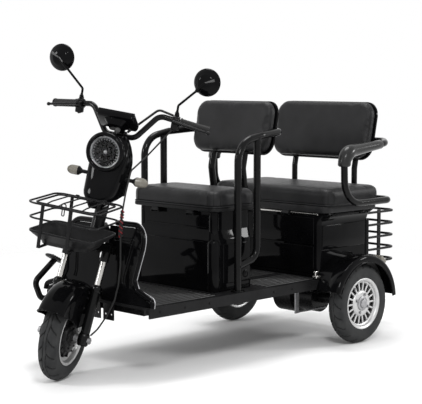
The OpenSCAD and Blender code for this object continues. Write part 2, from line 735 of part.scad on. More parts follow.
// Brake arm under the footboard with its rod to the rear axle
link_x = rbox_front + 58;
link_y = frame_half + rail_w / 2 + gap;
link_z = tyre_r - 39;
module brake_linkage() color("#9a9a9c") placed() {
    translate([link_x, link_y, link_z]) cube([22, 8, rail_top - 10 - link_z]);
    rod([link_x + 11, link_y + 4, link_z + 6], [axle_tube_r + 4, link_y + 4, link_z + 4], 5);
}

// Steered parts

leg_low = axle_w - 26;
leg_top = 385;
crown_t = 34;
crown_back = 24;
crown_front = 26;
crown_half = 34;
module fork() color("#151515") steered() {
    on_axis() {
        difference() {
            both_sides() translate([axle_u, fork_half, leg_low]) cylinder(h = leg_top - leg_low, r = leg_r);
            both_sides() translate([axle_u, fork_half, leg_top - 120]) cylinder(h = 121, r = stanchion_r + gap);
            translate([axle_u, -fork_half - leg_r - 1, axle_w]) rotate([-90, 0, 0])
                cylinder(h = 2 * (fork_half + leg_r + 1), r = front_axle_r + gap);
        }
        difference() {
            union() {
                translate([axle_u - crown_back, -fork_half - crown_front, crown_w])
                    cube([crown_back + crown_front, 2 * (fork_half + crown_front), crown_t]);
                translate([-crown_back, -crown_half, crown_w])
                    cube([axle_u + crown_back, 2 * crown_half, crown_t]);
            }
            both_sides() translate([axle_u, fork_half, crown_w - 1]) cylinder(h = 28, r = stanchion_r + gap);
        }
        // Stem through the head tube up to the bar clamp, with a collar at each end of the tube
        translate([0, 0, crown_w + 20]) cylinder(h = head_w - crown_w - 20 - gap, r = head_r);
        translate([0, 0, crown_w + 20]) cylinder(h = stem_top - crown_w - 20, r = stem_r);
        translate([0, 0, head_w + head_len + gap]) cylinder(h = 18, r = head_r);
    }
    // Arms that carry the basket, the turn signals and the headlight
    translate([basket_back - 50, -arm_w / 2, tray_z - tray_h - gap - 8]) cube([190, arm_w, 8]);
    translate([basket_back - 50, -arm_w / 2, tray_z - tray_h - gap - 30]) cube([40, arm_w, 30]);
    translate([axis_x - signal_z * tan(rake), -14, signal_z - 10])
        cube([signal_x - stalk_r - gap - axis_x + signal_z * tan(rake), 28, 20]);
    translate([axis_x - lamp_z * tan(rake), -18, lamp_z - 18])
        cube([lamp_x - lamp_depth - gap - axis_x + lamp_z * tan(rake), 36, 36]);
}
arm_w = 60;
tray_h = 58;
stalk_r = 8;
lamp_depth = 84;
bar_x = 1108;
bar_u = (bar_x - axis_x) * cos(rake) + bar_z * sin(rake);
bar_w = (axis_x - bar_x) * sin(rake) + bar_z * cos(rake);
stem_top = bar_w - 24;

module fork_tubes() color("#d8d8da") steered() on_axis() both_sides()
    translate([axle_u, fork_half, leg_top - 119]) cylinder(h = crown_w + 26 - leg_top + 119, r = stanchion_r);

// Front axle with spacers between the legs and the hub
module front_axle() color("#b8b8ba") at_front_wheel() rotate([-90, 0, 0]) {
    translate([0, 0, -fork_half - leg_r - 12]) cylinder(h = 2 * (fork_half + leg_r + 12), r = front_axle_r);
    for (s = [0, 1]) mirror([0, 0, s]) {
        translate([0, 0, front_hub_half + gap]) cylinder(h = fork_half - leg_r - front_hub_half - 2, r = 15);
        translate([0, 0, fork_half + leg_r + gap]) cylinder(h = 11, r = 14, $fn = 6);
    }
}

// Front fender: an arch with deep side valances between the fork legs
ff_turn = 98;
valance_r = ff_r - 20;
valance_low = [[-0.88 * tyre_r, 0.30 * tyre_r], [-0.16 * tyre_r, 0.23 * tyre_r], [0.17 * tyre_r, 0.30 * tyre_r],
    [0.70 * tyre_r, 0.56 * tyre_r]];
module front_fender() color("#101011") at_front_wheel() rotate([90, 0, 0]) {
    rotate([0, 0, ff_from]) rotate_extrude(angle = ff_turn) polygon([
        [ff_r - 34, -ff_half], [ff_r - 18, -ff_half], [ff_r, -ff_crown], [ff_r, ff_crown],
        [ff_r - 18, ff_half], [ff_r - 34, ff_half], [ff_r - 34, ff_half - ff_t],
        [ff_r - 19, ff_half - ff_t], [ff_r - ff_t, ff_crown - 2], [ff_r - ff_t, -ff_crown + 2],
        [ff_r - 19, -ff_half + ff_t], [ff_r - 34, -ff_half + ff_t]]);
    for (s = [0, 1]) mirror([0, 0, s]) {
        translate([0, 0, ff_half - ff_t - 0.5]) linear_extrude(ff_t) polygon(concat(
            [for (a = [0:8:ff_turn]) valance_r * [cos(ff_from + a), sin(ff_from + a)]], valance_low));
        // Lugs to the fork legs
        rotate([0, 0, 90 + rake]) translate([ff_r - 50, 0, ff_half - 2])
            cylinder(h = fork_half - leg_r - ff_half + 2 - gap, r = 10);
    }
}

// Handlebar, bent up from the clamp to the shoulders and back to the grips
shoulder_z = bar_z + bar_rise;
grip_out = [1020, bar_half, shoulder_z - 32];
shoulder = [1074, 150, shoulder_z];
bar_points = [grip_out, shoulder, [bar_x, 66, bar_z]];
module handlebar() color("#1c1c1c") steered() {
    bent_rod(concat(bar_points, reversed([for (p = bar_points) flip(p)])), bar_r, 44);
    on_axis() difference() {
        translate([bar_u - 20, -24, stem_top + gap]) cube([40, 48, bar_w + 20 - stem_top - gap]);
        translate([bar_u, -30, bar_w]) rotate([-90, 0, 0]) cylinder(h = 60, r = bar_r + gap);
    }
}
grip_dir = unit(shoulder - grip_out);
function on_grip(t) = grip_out + grip_dir * t;

module grips() color("#111111") steered() both_sides() difference() {
    rod(on_grip(-3), on_grip(grip_len), 16.5);
    rod(on_grip(-1), on_grip(grip_len + 1), bar_r + gap);
}

// Lever perches around the bar, and the levers ahead of the grips
perch_at = grip_len + 18;
perch_r = 21;
module levers() color("#181818") steered() both_sides() {
    difference() {
        rod(on_grip(perch_at - 14), on_grip(perch_at + 16), perch_r);
        rod(on_grip(perch_at - 16), on_grip(perch_at + 18), bar_r + gap);
    }
    p = on_grip(perch_at);
    q = on_grip(-14);
    bent_rod([p + [22, 0, 4], p + [46, 0, 2], q + [40, 0, -4]], 5, 14, 10);
}

// Mirrors on bent stems
mirror_c = [1056, 330, 1258];
mirror_foot = on_grip(perch_at) + [0, 0, perch_r + 1];
mirror_knee = mirror_foot + [-2, 0, 42];
mirror_boss = mirror_c + [15, -34, -38];
boss_r = 9;
module mirrors() color("#191919") steered() both_sides() {
    bent_rod([mirror_foot, mirror_knee, mirror_boss - unit(mirror_boss - mirror_knee) * (boss_r + gap)],
        5, 12, 10);
    translate(mirror_boss) sphere(boss_r);
    translate(mirror_c) rotate([0, 90, 0]) difference() {
        rotate_extrude() mirror_shell();
        translate([0, 0, -1]) cylinder(h = 5 + 1, r = mirror_r - 3);
    }
}
module mirror_shell() intersection() {
    translate([0, -mirror_r * 0.8]) circle(mirror_r * 1.3);
    square([mirror_r, mirror_r]);
}
module mirror_glass() color("#c8d0d6") steered() both_sides() translate(mirror_c)
    rotate([0, 90, 0]) translate([0, 0, 1]) cylinder(h = 4 - gap, r = mirror_r - 3 - gap);

// Instrument cluster over the bar clamp
module dash() color("#121212") steered() {
    translate([dash_x, 0, dash_z]) rotate([0, -dash_tilt, 0])
        linear_extrude(dash_size[2]) round_rect([dash_size[0], dash_size[1]], 14);
    on_axis() translate([bar_u + 4, -20, bar_w + 20 + gap]) cube([34, 40, 26]);
}
dash_x = 1165;
dash_z = 1040;
dash_tilt = 40;
dash_size = [94, 166, 34];

// Headlight bowl, and its lens behind the rim
lamp_ahead = 144;
lamp_drop = 57;
lamp_x = bar_x + lamp_ahead;
lamp_z = bar_z - lamp_drop;
lamp_r = 84;
lens_r = 70;
module headlight() color("#141414") steered() translate([lamp_x, 0, lamp_z]) rotate([0, 90, 0]) difference() {
    rotate_extrude() polygon([[0, -lamp_depth], [34, -lamp_depth + 4], [62, -58], [lamp_r - 4, -22],
        [lamp_r, -8],
        [lamp_r - 2, 4], [lens_r + 3, 8], [lens_r + gap, 6], [lens_r + gap, -6], [0, -6]]);
}
module headlight_lens() color("#dfe4e8") steered() translate([lamp_x, 0, lamp_z]) rotate([0, 90, 0])
    translate([0, 0, -6 + gap]) cylinder(h = 9, r = lens_r);

// Nose shell under and behind the headlight, open at the back, leaning with the steering axis
nose_back = 102;
nose_flat = 122;
nose_deep = 150;
nose_point = [32, 52, 6];
nose_x = lamp_x - nose_back;
nose_half = 76;
nose_wide = 84;
nose_low = basket_z + 4;
nose_tip = basket_z - 46;
module nose_form(t) hull() {
    translate([nose_x - (t > 0 ? 60 : 0), 0, lamp_z + 35]) rotate([0, 90, 0])
        cylinder(h = t > 0 ? 74 : 22, r = nose_wide - 26 - t);
    translate([nose_x - (t > 0 ? 60 : 0), 0, lamp_z - 42]) rotate([0, 90, 0])
        cylinder(h = t > 0 ? 148 : 96, r = nose_wide - t);
    translate([0, 0, nose_low - (t > 0 ? 14 : 0)]) linear_extrude(16) polygon([
        [nose_x + (t > 0 ? -60 : 14), -nose_half + t], [nose_x + nose_flat - t, -nose_half + t],
        [nose_x + nose_deep - t, -36 + t / 2],
        [nose_x + nose_deep - t, 36 - t / 2], [nose_x + nose_flat - t, nose_half - t],
        [nose_x + (t > 0 ? -60 : 14), nose_half - t]]);
    translate([nose_x + nose_flat, -nose_point[1] / 2 + t, nose_tip + t])
        cube([nose_point[0] - t, nose_point[1] - 2 * t, nose_point[2]]);
}
module nose_panel() color("#0f0f10") steered() difference() {
    nose_form(0);
    nose_form(panel);
    translate([lamp_x, 0, lamp_z]) rotate([0, 90, 0]) translate([0, 0, -lamp_depth - 6])
        cylinder(h = lamp_depth + 16, r = lamp_r + gap);
    translate([signal_x, -100, signal_z]) rotate([-90, 0, 0]) cylinder(h = 200, r = stalk_r + gap);
    on_axis() translate([0, 0, head_w]) cylinder(h = head_len + 120, r = head_r + 8);
}

// Turn signals on short stalks
signal_ahead = 82;
signal_drop = 107;
signal_x = bar_x + signal_ahead;
signal_z = lamp_z - signal_drop;
signal_r = 20;
signal_in = nose_wide + 36;
module turn_signals() color("#b8ac98") steered() translate([signal_x, 0, signal_z]) {
    rotate([-90, 0, 0]) translate([0, 0, -signal_in - 6]) cylinder(h = 2 * (signal_in + 6), r = stalk_r);
    both_sides() rotate([-90, 0, 0]) translate([0, 0, signal_in]) {
        cylinder(h = 14, r1 = signal_r - 8, r2 = signal_r);
        translate([0, 0, 14]) cylinder(h = 28, r = signal_r);
        translate([0, 0, 42]) sphere(signal_r);
    }
}

// Front basket of wire on a tray
basket_back = basket_front - basket_len;
tray_z = basket_z - basket_h;
module wire_ring(x0, x1, half, z, r)
    translate([(x0 + x1) / 2, 0, z]) {
        for (s = [-1, 1]) {
            rod([-(x1 - x0) / 2 + r, s * half, 0], [(x1 - x0) / 2 - r, s * half, 0], wire_r);
            rod([s * (x1 - x0) / 2, -half + r, 0], [s * (x1 - x0) / 2, half - r, 0], wire_r);
        }
        for (sx = [0, 1], sy = [0, 1]) mirror([sx, 0, 0]) mirror([0, sy, 0])
            translate([(x1 - x0) / 2 - r, half - r, 0])
                rotate_extrude(angle = 90) translate([r, 0]) circle(wire_r);
    }
module basket_wire() color("#1a1a1a") steered() {
    wire_ring(basket_back, basket_front, basket_half, basket_z, basket_corner);
    wire_ring(basket_back + 8, basket_front - 6, basket_half - 6, basket_z - 60, basket_corner);
    basket_straps();
}
// Tray of the basket: a lip over sides that taper to a smaller bottom
strap_w = 14;
strap_t = 6;
strap_in = 2;
strap_at = [-80, 40];
tray_in = strap_in + strap_t + gap;
tray_taper = 44;
tray_lip = 8;
module tray_form(low, low_z, top, top_z) hull() {
    plan_block(basket_back + low, basket_front - low, basket_half - low, low_z, 1, 30);
    plan_block(basket_back + top, basket_front - top, basket_half - top, top_z - 1, 1, 36);
}
module basket_tray() color("#1b1b1c") steered() difference() {
    union() {
        tray_form(tray_in + tray_taper, tray_z - tray_h, tray_in + 6, tray_z - tray_lip + 2);
        plan_block(basket_back + tray_in, basket_front - tray_in, basket_half - tray_in,
            tray_z - tray_lip, tray_lip, 36);
    }
    tray_form(tray_in + tray_taper + panel, tray_z - tray_h + panel, tray_in + 6 + panel, tray_z + 1);
}
// Flat straps down the front, under the tray and up the back
module basket_straps() for (y = strap_at) translate([0, y - strap_w / 2, tray_z - tray_h - gap - strap_t]) {
    translate([basket_back + strap_in, 0, 0]) cube([basket_len - 2 * strap_in, strap_w, strap_t]);
    for (x = [basket_back + strap_in, basket_front - strap_in - strap_t])
        translate([x, 0, 0]) cube([strap_t, strap_w, basket_h + tray_h + gap + strap_t]);
}
// Wire lid inside the rim, hinged on the rim's rear wire
lid_in = 24;
lid_hinge = 60;
barrel_r = 8;
barrel_len = 14;
module basket_lid() color("#1a1a1a") steered() {
    wire_ring(basket_back + lid_in, basket_front - lid_in, basket_half - lid_in, basket_z,
        basket_corner - lid_in / 2);
    lid_span = 2 * (basket_half - lid_in);
    for (i = [1:lid_wires]) let (y = -lid_span / 2 + i * lid_span / (lid_wires + 1))
        rod([basket_back + lid_in, y, basket_z], [basket_front - lid_in, y, basket_z], wire_r - 1);
    for (y = [-lid_hinge, lid_hinge]) translate([basket_back, y - barrel_len / 2, basket_z]) difference() {
        union() {
            rotate([-90, 0, 0]) cylinder(h = barrel_len, r = barrel_r);
            translate([0, 2, -3]) cube([lid_in, barrel_len - 4, 6]);
        }
        translate([0, -1, 0]) rotate([-90, 0, 0]) cylinder(h = barrel_len + 2, r = wire_r + run_gap);
    }
}

// Front brake cable from the left lever, behind the nose and past the crown, down to the drum
cable_r = 3.5;
function at_axis(u, v, w) = [axis_x + u * cos(rake) - w * sin(rake), v, u * sin(rake) + w * cos(rake)];
cable_points = [on_grip(perch_at) - [0, 0, perch_r + gap + 2.2], [1150, 150, 930], [1240, 120, 868],
    [1312, 138, 790], [1334, 143, 720], [1340, 148, 640], [1352, 172, 500], [1362, 178, 418], [1366, 172, 358],
    [1356, 143, 282], [1382, 121, 226], at_axis(axle_u - 8, fork_half + leg_r + cable_r + gap, 205)];
loom_r = 5;
loom_off = bar_r + loom_r + 2 * gap;
loom_points = [on_grip(perch_at + 16 + gap) + loom_off * unit([0, 0, 1] - grip_dir * grip_dir[2]),
    shoulder + [0, -6, loom_off + 7], [bar_x - 36, 60, bar_z + 54], [bar_x - 8, 28, bar_z + 18]];
module brake_cable() color("#0d0d0d") steered() {
    bent_rod(cable_points, cable_r, 45, 8, 4);
    bent_rod(loom_points, loom_r, 28, 8, 4);
}

frame();
floor_pan();
leg_shield();
driver_box();
battery_pack();
driver_backrest();
backrest_shells();
guard_rails();
rear_box();
rear_backrest();
backrest_posts();
rear_armrests();
armrest_pads();
rear_fenders();
rear_rack();
tail_lamps();
rear_axle();
leaf_springs();
brake_pedal();
brake_linkage();
driver_pan();
driver_cushion();
rear_pan();
rear_cushion();
fork();
fork_tubes();
front_axle();
front_fender();
handlebar();
grips();
levers();
mirrors();
mirror_glass();
dash();
nose_panel();
headlight();
headlight_lens();
turn_signals();
basket_wire();
basket_tray();
basket_lid();
brake_cable();
front_tyre();
front_rim();
left_tyre();
left_rim();
right_tyre();
right_rim();
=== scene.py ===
"""Looks of the three-wheeled electric tricycle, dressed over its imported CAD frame.

Pieces are drawn in millimetres with X counted from the rear axle, as in the part's source,
and settle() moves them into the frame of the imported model.
"""
import math

import bmesh
import bpy
from mathutils import Matrix, Vector
from mathutils.bvhtree import BVHTree


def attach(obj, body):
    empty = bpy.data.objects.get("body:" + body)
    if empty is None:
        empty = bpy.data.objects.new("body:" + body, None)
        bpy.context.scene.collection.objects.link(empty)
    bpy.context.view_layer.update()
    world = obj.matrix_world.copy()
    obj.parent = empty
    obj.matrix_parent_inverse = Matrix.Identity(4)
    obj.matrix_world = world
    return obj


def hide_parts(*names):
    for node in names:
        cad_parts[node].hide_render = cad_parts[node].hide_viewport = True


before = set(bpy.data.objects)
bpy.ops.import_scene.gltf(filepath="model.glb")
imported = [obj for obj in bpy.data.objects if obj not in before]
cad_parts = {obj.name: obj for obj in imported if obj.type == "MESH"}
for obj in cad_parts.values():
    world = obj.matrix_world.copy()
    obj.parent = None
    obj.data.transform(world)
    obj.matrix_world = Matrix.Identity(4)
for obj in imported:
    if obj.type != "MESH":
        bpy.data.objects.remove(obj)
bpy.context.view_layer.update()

# Places of the part's source
MID_X = 596.166
TYRE_R = 185.0
SECTION_R = 40.0
WHEELBASE = 1430.0
TRACK_HALF = 396.0
AXIS_X = 1452.0
TRAIL = AXIS_X - WHEELBASE
FORK_HALF = 85
FLOOR_TOP = 308
RAKE = math.radians(20)
PARKED = math.radians(28)
LEAN = math.radians(12)
TO_METRES = Matrix.Scale(0.001, 4)
BODY_PLACE = TO_METRES @ Matrix.Translation((-MID_X, 0, 0))
ON_AXIS = Matrix.Translation((AXIS_X, 0, 0)) @ Matrix.Rotation(-RAKE, 4, "Y")
STEER_PLACE = BODY_PLACE @ ON_AXIS @ Matrix.Rotation(PARKED, 4, "Z") @ ON_AXIS.inverted()
UP_AXIS = ON_AXIS.to_3x3() @ Vector((0, 0, 1))
AXLE_U = TYRE_R * math.sin(RAKE) - TRAIL * math.cos(RAKE)
AXLE_W = TYRE_R * math.cos(RAKE) + TRAIL * math.sin(RAKE)
FRONT_HUB = (WHEELBASE, 0, TYRE_R)
BAR_CLAMP = ON_AXIS @ Matrix.Translation((12.2, 0, 1040.4))
GRIP_OUT, SHOULDER = Vector((1020, 352, 1058)), Vector((1074, 150, 1090))
GRIP_DIR = (SHOULDER - GRIP_OUT).normalized()
PERCH = GRIP_OUT + GRIP_DIR * 140
# Cushions: back, front, half width, underside, height
DRIVER_SEAT, REAR_SEAT = (536, 808, 262, 670, 72), (-202, 184, 370, 640, 80)
# Lower front edges of the backrests, and hinge pins of the seats: x, z
DRIVER_BACK, REAR_BACK = (468, 890), (-157, 841)
DRIVER_HINGE, REAR_HINGE = (801, 644), (180, 598)
# Turns a panel drawn flat (width, height, depth) to face forward
FACING = Matrix(((0, 0, 1, 0), (1, 0, 0, 0), (0, 1, 0, 0), (0, 0, 0, 1)))
# Bodies that are drawn straight ahead and turn with the parked steering
STEERED = {"steering", "front_wheel", "lid"}
SCENE = bpy.context.scene


def at_axis(u, v, w):
    """A point ahead of the steering axis by u, left of it by v and w up along it."""
    return ON_AXIS @ Vector((u, v, w))


def sided(v, side):
    return Vector((v[0], side * v[1], v[2]))


def flip(points):
    return [sided(p, -1) for p in points]


def linked(name, data):
    made = bpy.data.objects.new(name, data)
    SCENE.collection.objects.link(made)
    return made


# Camera of the photograph
def make_camera():
    lens = bpy.data.cameras.new("photo_camera")
    focal_px, wide_px = 1296, 422
    lens.sensor_width = 36
    lens.lens = lens.sensor_width * focal_px / wide_px
    lens.clip_end = 100
    camera = linked("photo_camera", lens)
    bearing, dip = math.radians(44.95), math.radians(5.59)
    looks = Vector((-math.cos(bearing) * math.cos(dip), -math.sin(bearing) * math.cos(dip), -math.sin(dip)))
    camera.location = BODY_PLACE @ Vector((4671, 4101, 1233))
    camera.rotation_mode = "QUATERNION"
    camera.rotation_quaternion = looks.to_track_quat("-Z", "Y")
    SCENE.camera = camera


make_camera()


# Finishes
class Value:
    """A shader socket that takes part in Python arithmetic."""

    def __init__(self, finish, socket):
        self.finish, self.socket = finish, socket

    def calc(self, operation, a, b):
        return self.finish.node("ShaderNodeMath", {"operation": operation}, {0: a, 1: b})

    def __add__(self, other): return self.calc("ADD", self, other)
    def __radd__(self, other): return self.calc("ADD", other, self)
    def __mul__(self, other): return self.calc("MULTIPLY", self, other)
    def __rmul__(self, other): return self.calc("MULTIPLY", other, self)


class Finish:
    """One procedural material around a Principled shader."""

    def __init__(self, name, **fixed):
        self.material = bpy.data.materials.new(name)
        self.material.use_nodes = True
        self.tree = self.material.node_tree
        self.shader = self.tree.nodes["Principled BSDF"]
        self.place = self.node("ShaderNodeTexCoord", out="Object")
        for socket, value in fixed.items():
            self.set(socket.replace("_", " "), value)

    def node(self, kind, settings=None, sockets=None, out=0):
        made = self.tree.nodes.new(kind)
        for key, value in (settings or {}).items():
            setattr(made, key, value)
        for key, value in (sockets or {}).items():
            self.feed(made.inputs[key], value)
        return Value(self, made.outputs[out])

    def feed(self, socket, value):
        if isinstance(value, Value):
            self.tree.links.new(value.socket, socket)
        else:
            socket.default_value = value

    def set(self, socket, value):
        self.feed(self.shader.inputs[socket], value)
        return self

    def noise(self, scale, detail=3.0):
        return self.node("ShaderNodeTexNoise", None, {"Vector": self.place, "Scale": scale, "Detail": detail})

    def cells(self, scale, feature="F1"):
        return self.node("ShaderNodeTexVoronoi", {"feature": feature}, {"Vector": self.place, "Scale": scale})

    def ramp(self, value, low, high):
        return self.node("ShaderNodeMapRange", None, {0: value, 1: low, 2: high})

    def tint(self, share, a, b):
        return self.set("Base Color", self.node(
            "ShaderNodeMix", {"data_type": "RGBA"}, {0: share, 6: (*a, 1), 7: (*b, 1)}, out=2))

    def grain(self, height, strength, depth):
        return self.set("Normal", self.node(
            "ShaderNodeBump", None, {"Strength": strength, "Distance": depth, "Height": height}))


def gloss_black():
    made = Finish("gloss_black_plastic", Specular_IOR_Level=0.07)
    dust = made.noise(9)
    made.tint(made.ramp(dust, 0.35, 0.75), (0.0018, 0.0018, 0.0021), (0.004, 0.004, 0.0044))
    made.set("Roughness", 0.04 + 0.07 * made.noise(34, 5) * dust)
    return made.grain(made.noise(140), 0.05, 0.0006).material


def grained_plastic():
    made = Finish("grained_black_plastic", Specular_IOR_Level=0.1)
    wear = made.noise(12, 5)
    made.tint(made.ramp(wear, 0.3, 0.8), (0.005, 0.005, 0.0053), (0.012, 0.012, 0.0125))
    made.set("Roughness", 0.34 + 0.2 * wear)
    return made.grain(made.cells(800), 0.25, 0.0006).material


def seat_cover():
    made = Finish("grained_seat_cover", Specular_IOR_Level=0.15)
    folds = made.noise(16, 4)
    made.tint(made.ramp(folds, 0.3, 0.75), (0.009, 0.009, 0.0096), (0.014, 0.014, 0.0148))
    leather = made.cells(520, "DISTANCE_TO_EDGE")
    made.set("Roughness", 0.3 + 0.16 * made.noise(40, 3))
    return made.grain(made.ramp(leather, 0.0, 0.35) + 0.4 * made.noise(1400), 0.28, 0.0007).material


def tyre_rubber():
    made = Finish("road_tyre_rubber", Specular_IOR_Level=0.16)
    dust = made.noise(20, 5)
    made.tint(made.ramp(dust, 0.35, 0.75), (0.019, 0.0196, 0.0205), (0.038, 0.0385, 0.0385))
    made.set("Roughness", 0.55 + 0.3 * dust)
    return made.grain(made.noise(900, 4), 0.25, 0.0006).material


def coat(name, mottle, dark, light, rough, grain=None, **fixed):
    """A mottled colour, an uneven sheen (level, share, scale, detail) and a grain (scale, strength, depth)."""
    made = Finish(name, **fixed)
    pattern = made.cells(mottle[0]) if mottle[1:] == ("cells",) else made.noise(*mottle)
    made.tint(pattern, dark, light)
    made.set("Roughness", rough[0] + rough[1] * made.noise(*rough[2:]))
    if grain:
        made.grain(made.noise(grain[0]), *grain[1:])
    return made.material


def soft_rubber(name, dark, light, rough):
    return coat(name, (45,), (dark,) * 3, (light,) * 3, (rough, 0.2, 90), (1100, 0.18, 0.0005), Specular_IOR_Level=0.22)


def lens_plastic(name, deep, pale, clear, bend=1.46):
    return coat(name, (160,), deep, pale, (0.08, 0.1, 120), (500, 0.06, 0.0004), Transmission_Weight=clear, IOR=bend)


GLOSS = gloss_black()
TUBE = coat("black_tube_enamel", (22,), (0.002, 0.002, 0.0021), (0.005, 0.005, 0.0052), (0.1, 0.09, 60, 4),
            (420, 0.08, 0.0004), Specular_IOR_Level=0.14)
POWDER = coat("black_powder_coat", (30,), (0.004, 0.004, 0.0043), (0.009, 0.009, 0.0095), (0.2, 0.15, 50, 4),
              (900, 0.22, 0.0005), Specular_IOR_Level=0.12)
PLASTIC = grained_plastic()
COVER = seat_cover()
CHROME = coat("bright_chrome", (26,), (0.44, 0.43, 0.41), (0.6, 0.59, 0.57), (0.14, 0.14, 70, 4), (300, 0.04, 0.0004),
              Metallic=1.0)
SILVER = coat("cast_wheel_silver", (40, 4), (0.42,) * 3, (0.6,) * 3, (0.3, 0.25, 120, 4), (700, 0.2, 0.0005),
              Metallic=0.85)
ZINC = coat("zinc_steel", (90, "cells"), (0.24, 0.24, 0.245), (0.4, 0.4, 0.41), (0.32, 0.25, 80, 4),
            (400, 0.12, 0.0004), Metallic=0.9)
TYRE = tyre_rubber()
GRIP = soft_rubber("ribbed_grip_rubber", 0.008, 0.018, 0.5)
PAD = soft_rubber("smooth_armrest_pad", 0.012, 0.02, 0.12)
# Darker rubber for the sunk tread faces: painted shade in the grooves
GROOVE_SHADE = soft_rubber("tread_groove_painted_shade", 0.003, 0.006, 0.7)
SEAM = soft_rubber("seat_seam_thread", 0.003, 0.005, 0.6)
# Lighter rib rubber: a painted highlight standing in for the specular lines along the floor ribs
RIB_HIGHLIGHT = soft_rubber("floor_rib_painted_highlight", 0.03, 0.05, 0.2)
SHEATH = soft_rubber("cable_sheath", 0.006, 0.012, 0.4)
CASE = soft_rubber("battery_case", 0.05, 0.08, 0.45)
CLEAR = lens_plastic("clear_lamp_lens", (0.93, 0.94, 0.95), (0.98, 0.98, 0.98), 1.0, 1.16)
SMOKED = lens_plastic("smoked_signal_lens", (0.13, 0.12, 0.1), (0.27, 0.255, 0.22), 0.1)
RED = lens_plastic("red_lamp_lens", (0.25, 0.006, 0.006), (0.42, 0.015, 0.012), 0.3)
WRAP = lens_plastic("red_wire_sheath", (0.13, 0.008, 0.01), (0.2, 0.014, 0.016), 0.0)
MIRROR = coat("mirror_silver", (12,), (0.78, 0.8, 0.82), (0.86, 0.88, 0.9), (0.02, 0.03, 60), Metallic=1.0)
REFLECTOR = coat("dark_reflector", (160, "cells"), (0.004, 0.004, 0.0042), (0.035, 0.035, 0.036), (0.18, 0.2, 120),
                 (600, 0.1, 0.0004), Metallic=0.6, Specular_IOR_Level=0.15)


# Shaping helpers
def rounded(c, power):
    """A sine or cosine bent towards a superellipse."""
    return math.copysign(abs(c) ** (2 / power), c)


def add(bm, part, matrix=None):
    """Puts a finished part into bm and frees it."""
    if matrix:
        part.transform(matrix)
    carrier = bpy.data.meshes.new("part")
    part.to_mesh(carrier)
    part.free()
    bm.from_mesh(carrier)
    bpy.data.meshes.remove(carrier)


def block(bm, low, high, edge=3.0, steps=3, matrix=None):
    """A box with rounded edges."""
    part = bmesh.new()
    bmesh.ops.create_cube(part, size=1)
    low, high = Vector(low), Vector(high)
    bmesh.ops.scale(part, vec=high - low, verts=part.verts)
    bmesh.ops.translate(part, vec=(low + high) / 2, verts=part.verts)
    bmesh.ops.bevel(part, geom=part.edges[:], offset=edge, offset_type="OFFSET", segments=steps,
                    profile=0.5, affect="EDGES", material=-1, clamp_overlap=True)
    add(bm, part, matrix)


def lathe(bm, profile, at=(0, 0, 0), axis=(0, 0, 1), steps=48, closed=False, shape=None):
    """Spins (radius, height) points all round an axis through a point."""
    part = bmesh.new()
    axis = Vector(axis).normalized()
    side = axis.orthogonal().normalized()
    points = [part.verts.new(side * max(r, 0.0) + axis * h) for r, h in profile]
    pairs = list(zip(points, points[1:])) + ([(points[-1], points[0])] if closed else [])
    lines = [part.edges.new(pair) for pair in pairs]
    bmesh.ops.spin(part, geom=points + lines, cent=(0, 0, 0), axis=axis, angle=math.tau, steps=steps, use_merge=True)
    bmesh.ops.remove_doubles(part, verts=part.verts, dist=0.001)
    if shape:
        shape(part)
    bmesh.ops.recalc_face_normals(part, faces=part.faces)
    add(bm, part, Matrix.Translation(at))


def fillet(points, bend, steps=8, closed=False):
    """The points of a path with its corners rounded to the bend radius."""
    points = [Vector(p) for p in points]
    count = len(points)
    line = [] if closed else [points[0]]
    for i in range(0 if closed else 1, count if closed else count - 1):
        here = points[i]
        a = (here - points[i - 1]).normalized()
        b = (points[(i + 1) % count] - here).normalized()
        turn = a.angle(b)
        radius = bend[i] if isinstance(bend, (list, tuple)) else bend
        if turn < 0.01 or not radius:
            line.append(here)
            continue
        side = (b - a * a.dot(b)).normalized()
        middle = here - a * radius * math.tan(turn / 2) + side * radius
        line += [middle - side * radius * math.cos(turn * k / steps) + a * radius * math.sin(turn * k / steps)
                 for k in range(steps + 1)]
    return line if closed else line + [points[-1]]


def tube(bm, points, radius, bend=40.0, steps=8, closed=False, sides=5, swell=None):
    """A round rod along a bent path; swell gives a share of the radius at each point."""
    line = fillet(points, bend, steps, closed) if bend else [Vector(p) for p in points]
    curve = bpy.data.curves.new("rod", "CURVE")
    curve.dimensions, curve.bevel_depth, curve.bevel_resolution = "3D", radius, sides
    curve.use_fill_caps = True
    spline = curve.splines.new("POLY")
    spline.points.add(len(line) - 1)
    spline.use_cyclic_u = closed
    for i, (point, co) in enumerate(zip(spline.points, line)):
        point.co = (*co, 1)
        point.radius = swell[i] if swell else 1
    holder = bpy.data.objects.new("rod", curve)
    mesh = bpy.data.meshes.new_from_object(holder)
    bm.from_mesh(mesh)
    bpy.data.meshes.remove(mesh)
    bpy.data.objects.remove(holder)
    bpy.data.curves.remove(curve)
    return line


def hoop(bm, x0, x1, half, z, radius, corner, sides=4):
    """A flat closed loop of rod with rounded corners."""
    tube(bm, [(x1, half, z), (x0, half, z), (x0, -half, z), (x1, -half, z)], radius, corner, 8, True, sides)


def around(at, count, axis, start=0.0):
    """Places turned evenly about an axis through a point."""
    return [Matrix.Translation(at) @ Matrix.Rotation((i + start) * math.tau / count, 4, axis) for i in range(count)]


def ring(bm, middle, half, corner, count=64):
    """A closed flat loop: a rectangle with rounded corners."""
    loop = bmesh.ops.create_circle(bm, segments=count, radius=1)["verts"]
    corner = max(0.5, min(corner, half[0] - 0.5, half[1] - 0.5))
    for v in loop:
        turn = math.atan2(v.co.y, v.co.x) + math.pi / count
        c, s = math.cos(turn), math.sin(turn)
        v.co = Vector((middle[0] + math.copysign(half[0] - corner, c) + corner * c,
                       middle[1] + math.copysign(half[1] - corner, s) + corner * s, middle[2]))
    return list(dict.fromkeys(e for v in loop for e in v.link_edges))


